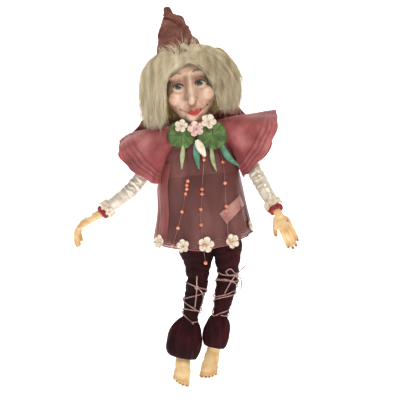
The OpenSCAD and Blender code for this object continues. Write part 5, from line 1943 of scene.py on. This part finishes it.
            dress(lace, f"shin_{word}", "suede_lace")


@dataclass
class Works:
    """The hidden blocks, pins and the hanging eye: modelled parts that keep their shape and get their finish."""

    shop: Workshop
    wood: tuple = ("chest_block", "pelvis_block", "neck_post", "shoulder_link_right", "shoulder_link_left")
    steel: tuple = ("hip_rod", "hanging_eye", "nod_pin")
    cloth: tuple = ("torso_body", "upper_arm_right", "upper_arm_left", "thigh_right", "thigh_left")

    def build(self) -> None:
        """Give each its material."""
        for names, finish in ((self.wood, LIME_WOOD), (self.steel, STEEL_WIRE), (self.cloth, CALICO)):
            for name in names:
                mesh = frame["nodes"][name].data
                mesh.materials.clear()
                mesh.materials.append(self.shop.use(finish))


# ---- Studio and main ----------------------------------------------------------------------


@dataclass
class Studio:
    """Pale cove, soft lights and a camera square on to the doll."""

    lens: float = 85.0
    sensor: float = 36.0
    view_width: float = 0.46
    aim: tuple[float, float] = (0.00155, -0.0695)
    lamps: tuple = (("key", (0.35, -1.0, 0.85), 0.4, 7.4), ("fill", (-0.95, -0.9, 0.1), 0.9, 1.2),
                    ("top", (-0.1, 0.15, 1.0), 0.6, 2.2))

    def build(self, subject_y: float) -> None:
        """Set up the room.

        Args:
            subject_y: Depth of the doll's middle plane, in metres.
        """
        scene = bpy.context.scene
        scene.view_settings.view_transform = "Standard"
        data = bpy.data.cameras.new("camera")
        data.lens, data.sensor_width, data.clip_start = self.lens, self.sensor, 0.05
        camera = add_object("camera", data)
        camera.location = (self.aim[0], subject_y - self.view_width * self.lens / self.sensor, self.aim[1])
        camera.rotation_euler = (math.pi / 2, 0, 0)
        scene.camera = camera
        world = bpy.data.worlds.new("pale_room")
        world.use_nodes = True
        sky = world.node_tree.nodes["Background"].inputs
        sky["Color"].default_value, sky["Strength"].default_value = srgb("#fffaf4"), 0.27
        scene.world = world
        self._cove()
        for name, place, size, power in self.lamps:
            light = bpy.data.lights.new(name, "AREA")
            light.size, light.energy, light.color = size, power, srgb("#fff6ea")[:3]
            lamp = add_object(name, light)
            lamp.location = place
            aim = Vector((0, subject_y, -0.05)) - Vector(place)
            lamp.rotation_euler = aim.to_track_quat("-Z", "Y").to_euler()

    @staticmethod
    def _cove() -> None:
        """White paper floor swept up into a back wall, lit a little from behind."""
        line = [(-3.0, -0.33), (1.2, -0.33), (1.5, -0.3), (1.72, -0.2), (1.85, 0.0), (1.9, 0.3), (1.9, 4.0)]
        points = [(x, y, z) for y, z in line for x in (-5.0, 5.0)]
        mesh = bpy.data.meshes.new("paper_cove")
        mesh.from_pydata(points, [], [(2 * k, 2 * k + 1, 2 * k + 3, 2 * k + 2) for k in range(len(line) - 1)])
        mesh.shade_smooth()
        paper = bpy.data.materials.new("white_background_paper")
        paper.use_nodes = True
        sockets = paper.node_tree.nodes["Principled BSDF"].inputs
        for name, value in (("Base Color", srgb("#f7f7f5")), ("Roughness", 0.95), ("Emission Color", (1, 1, 1, 1)),
                            ("Emission Strength", 0.95)):
            sockets[name].default_value = value
        mesh.materials.append(paper)
        add_object("paper_cove", mesh)


def main() -> None:
    """Build the doll from the head down and report each piece."""
    logging.basicConfig(level=logging.INFO, format="%(message)s")
    shop = Workshop()
    Studio().build(shop.rig.mid_y * MM)
    parts = [Head(shop), Wig(shop), Hat(shop), Tunic(shop), Cape(shop), Collar(shop), Trim(shop)]
    for side in Side:
        parts += [ButterflySleeve(shop, side), Arm(shop, side), Leg(shop, side)]
    parts.append(Works(shop))
    for part in parts:
        before = len(bpy.data.objects)
        part.build()
        LOG.info("built %s: %d pieces", type(part).__name__, len(bpy.data.objects) - before)


if __name__ == "__main__":
    main()
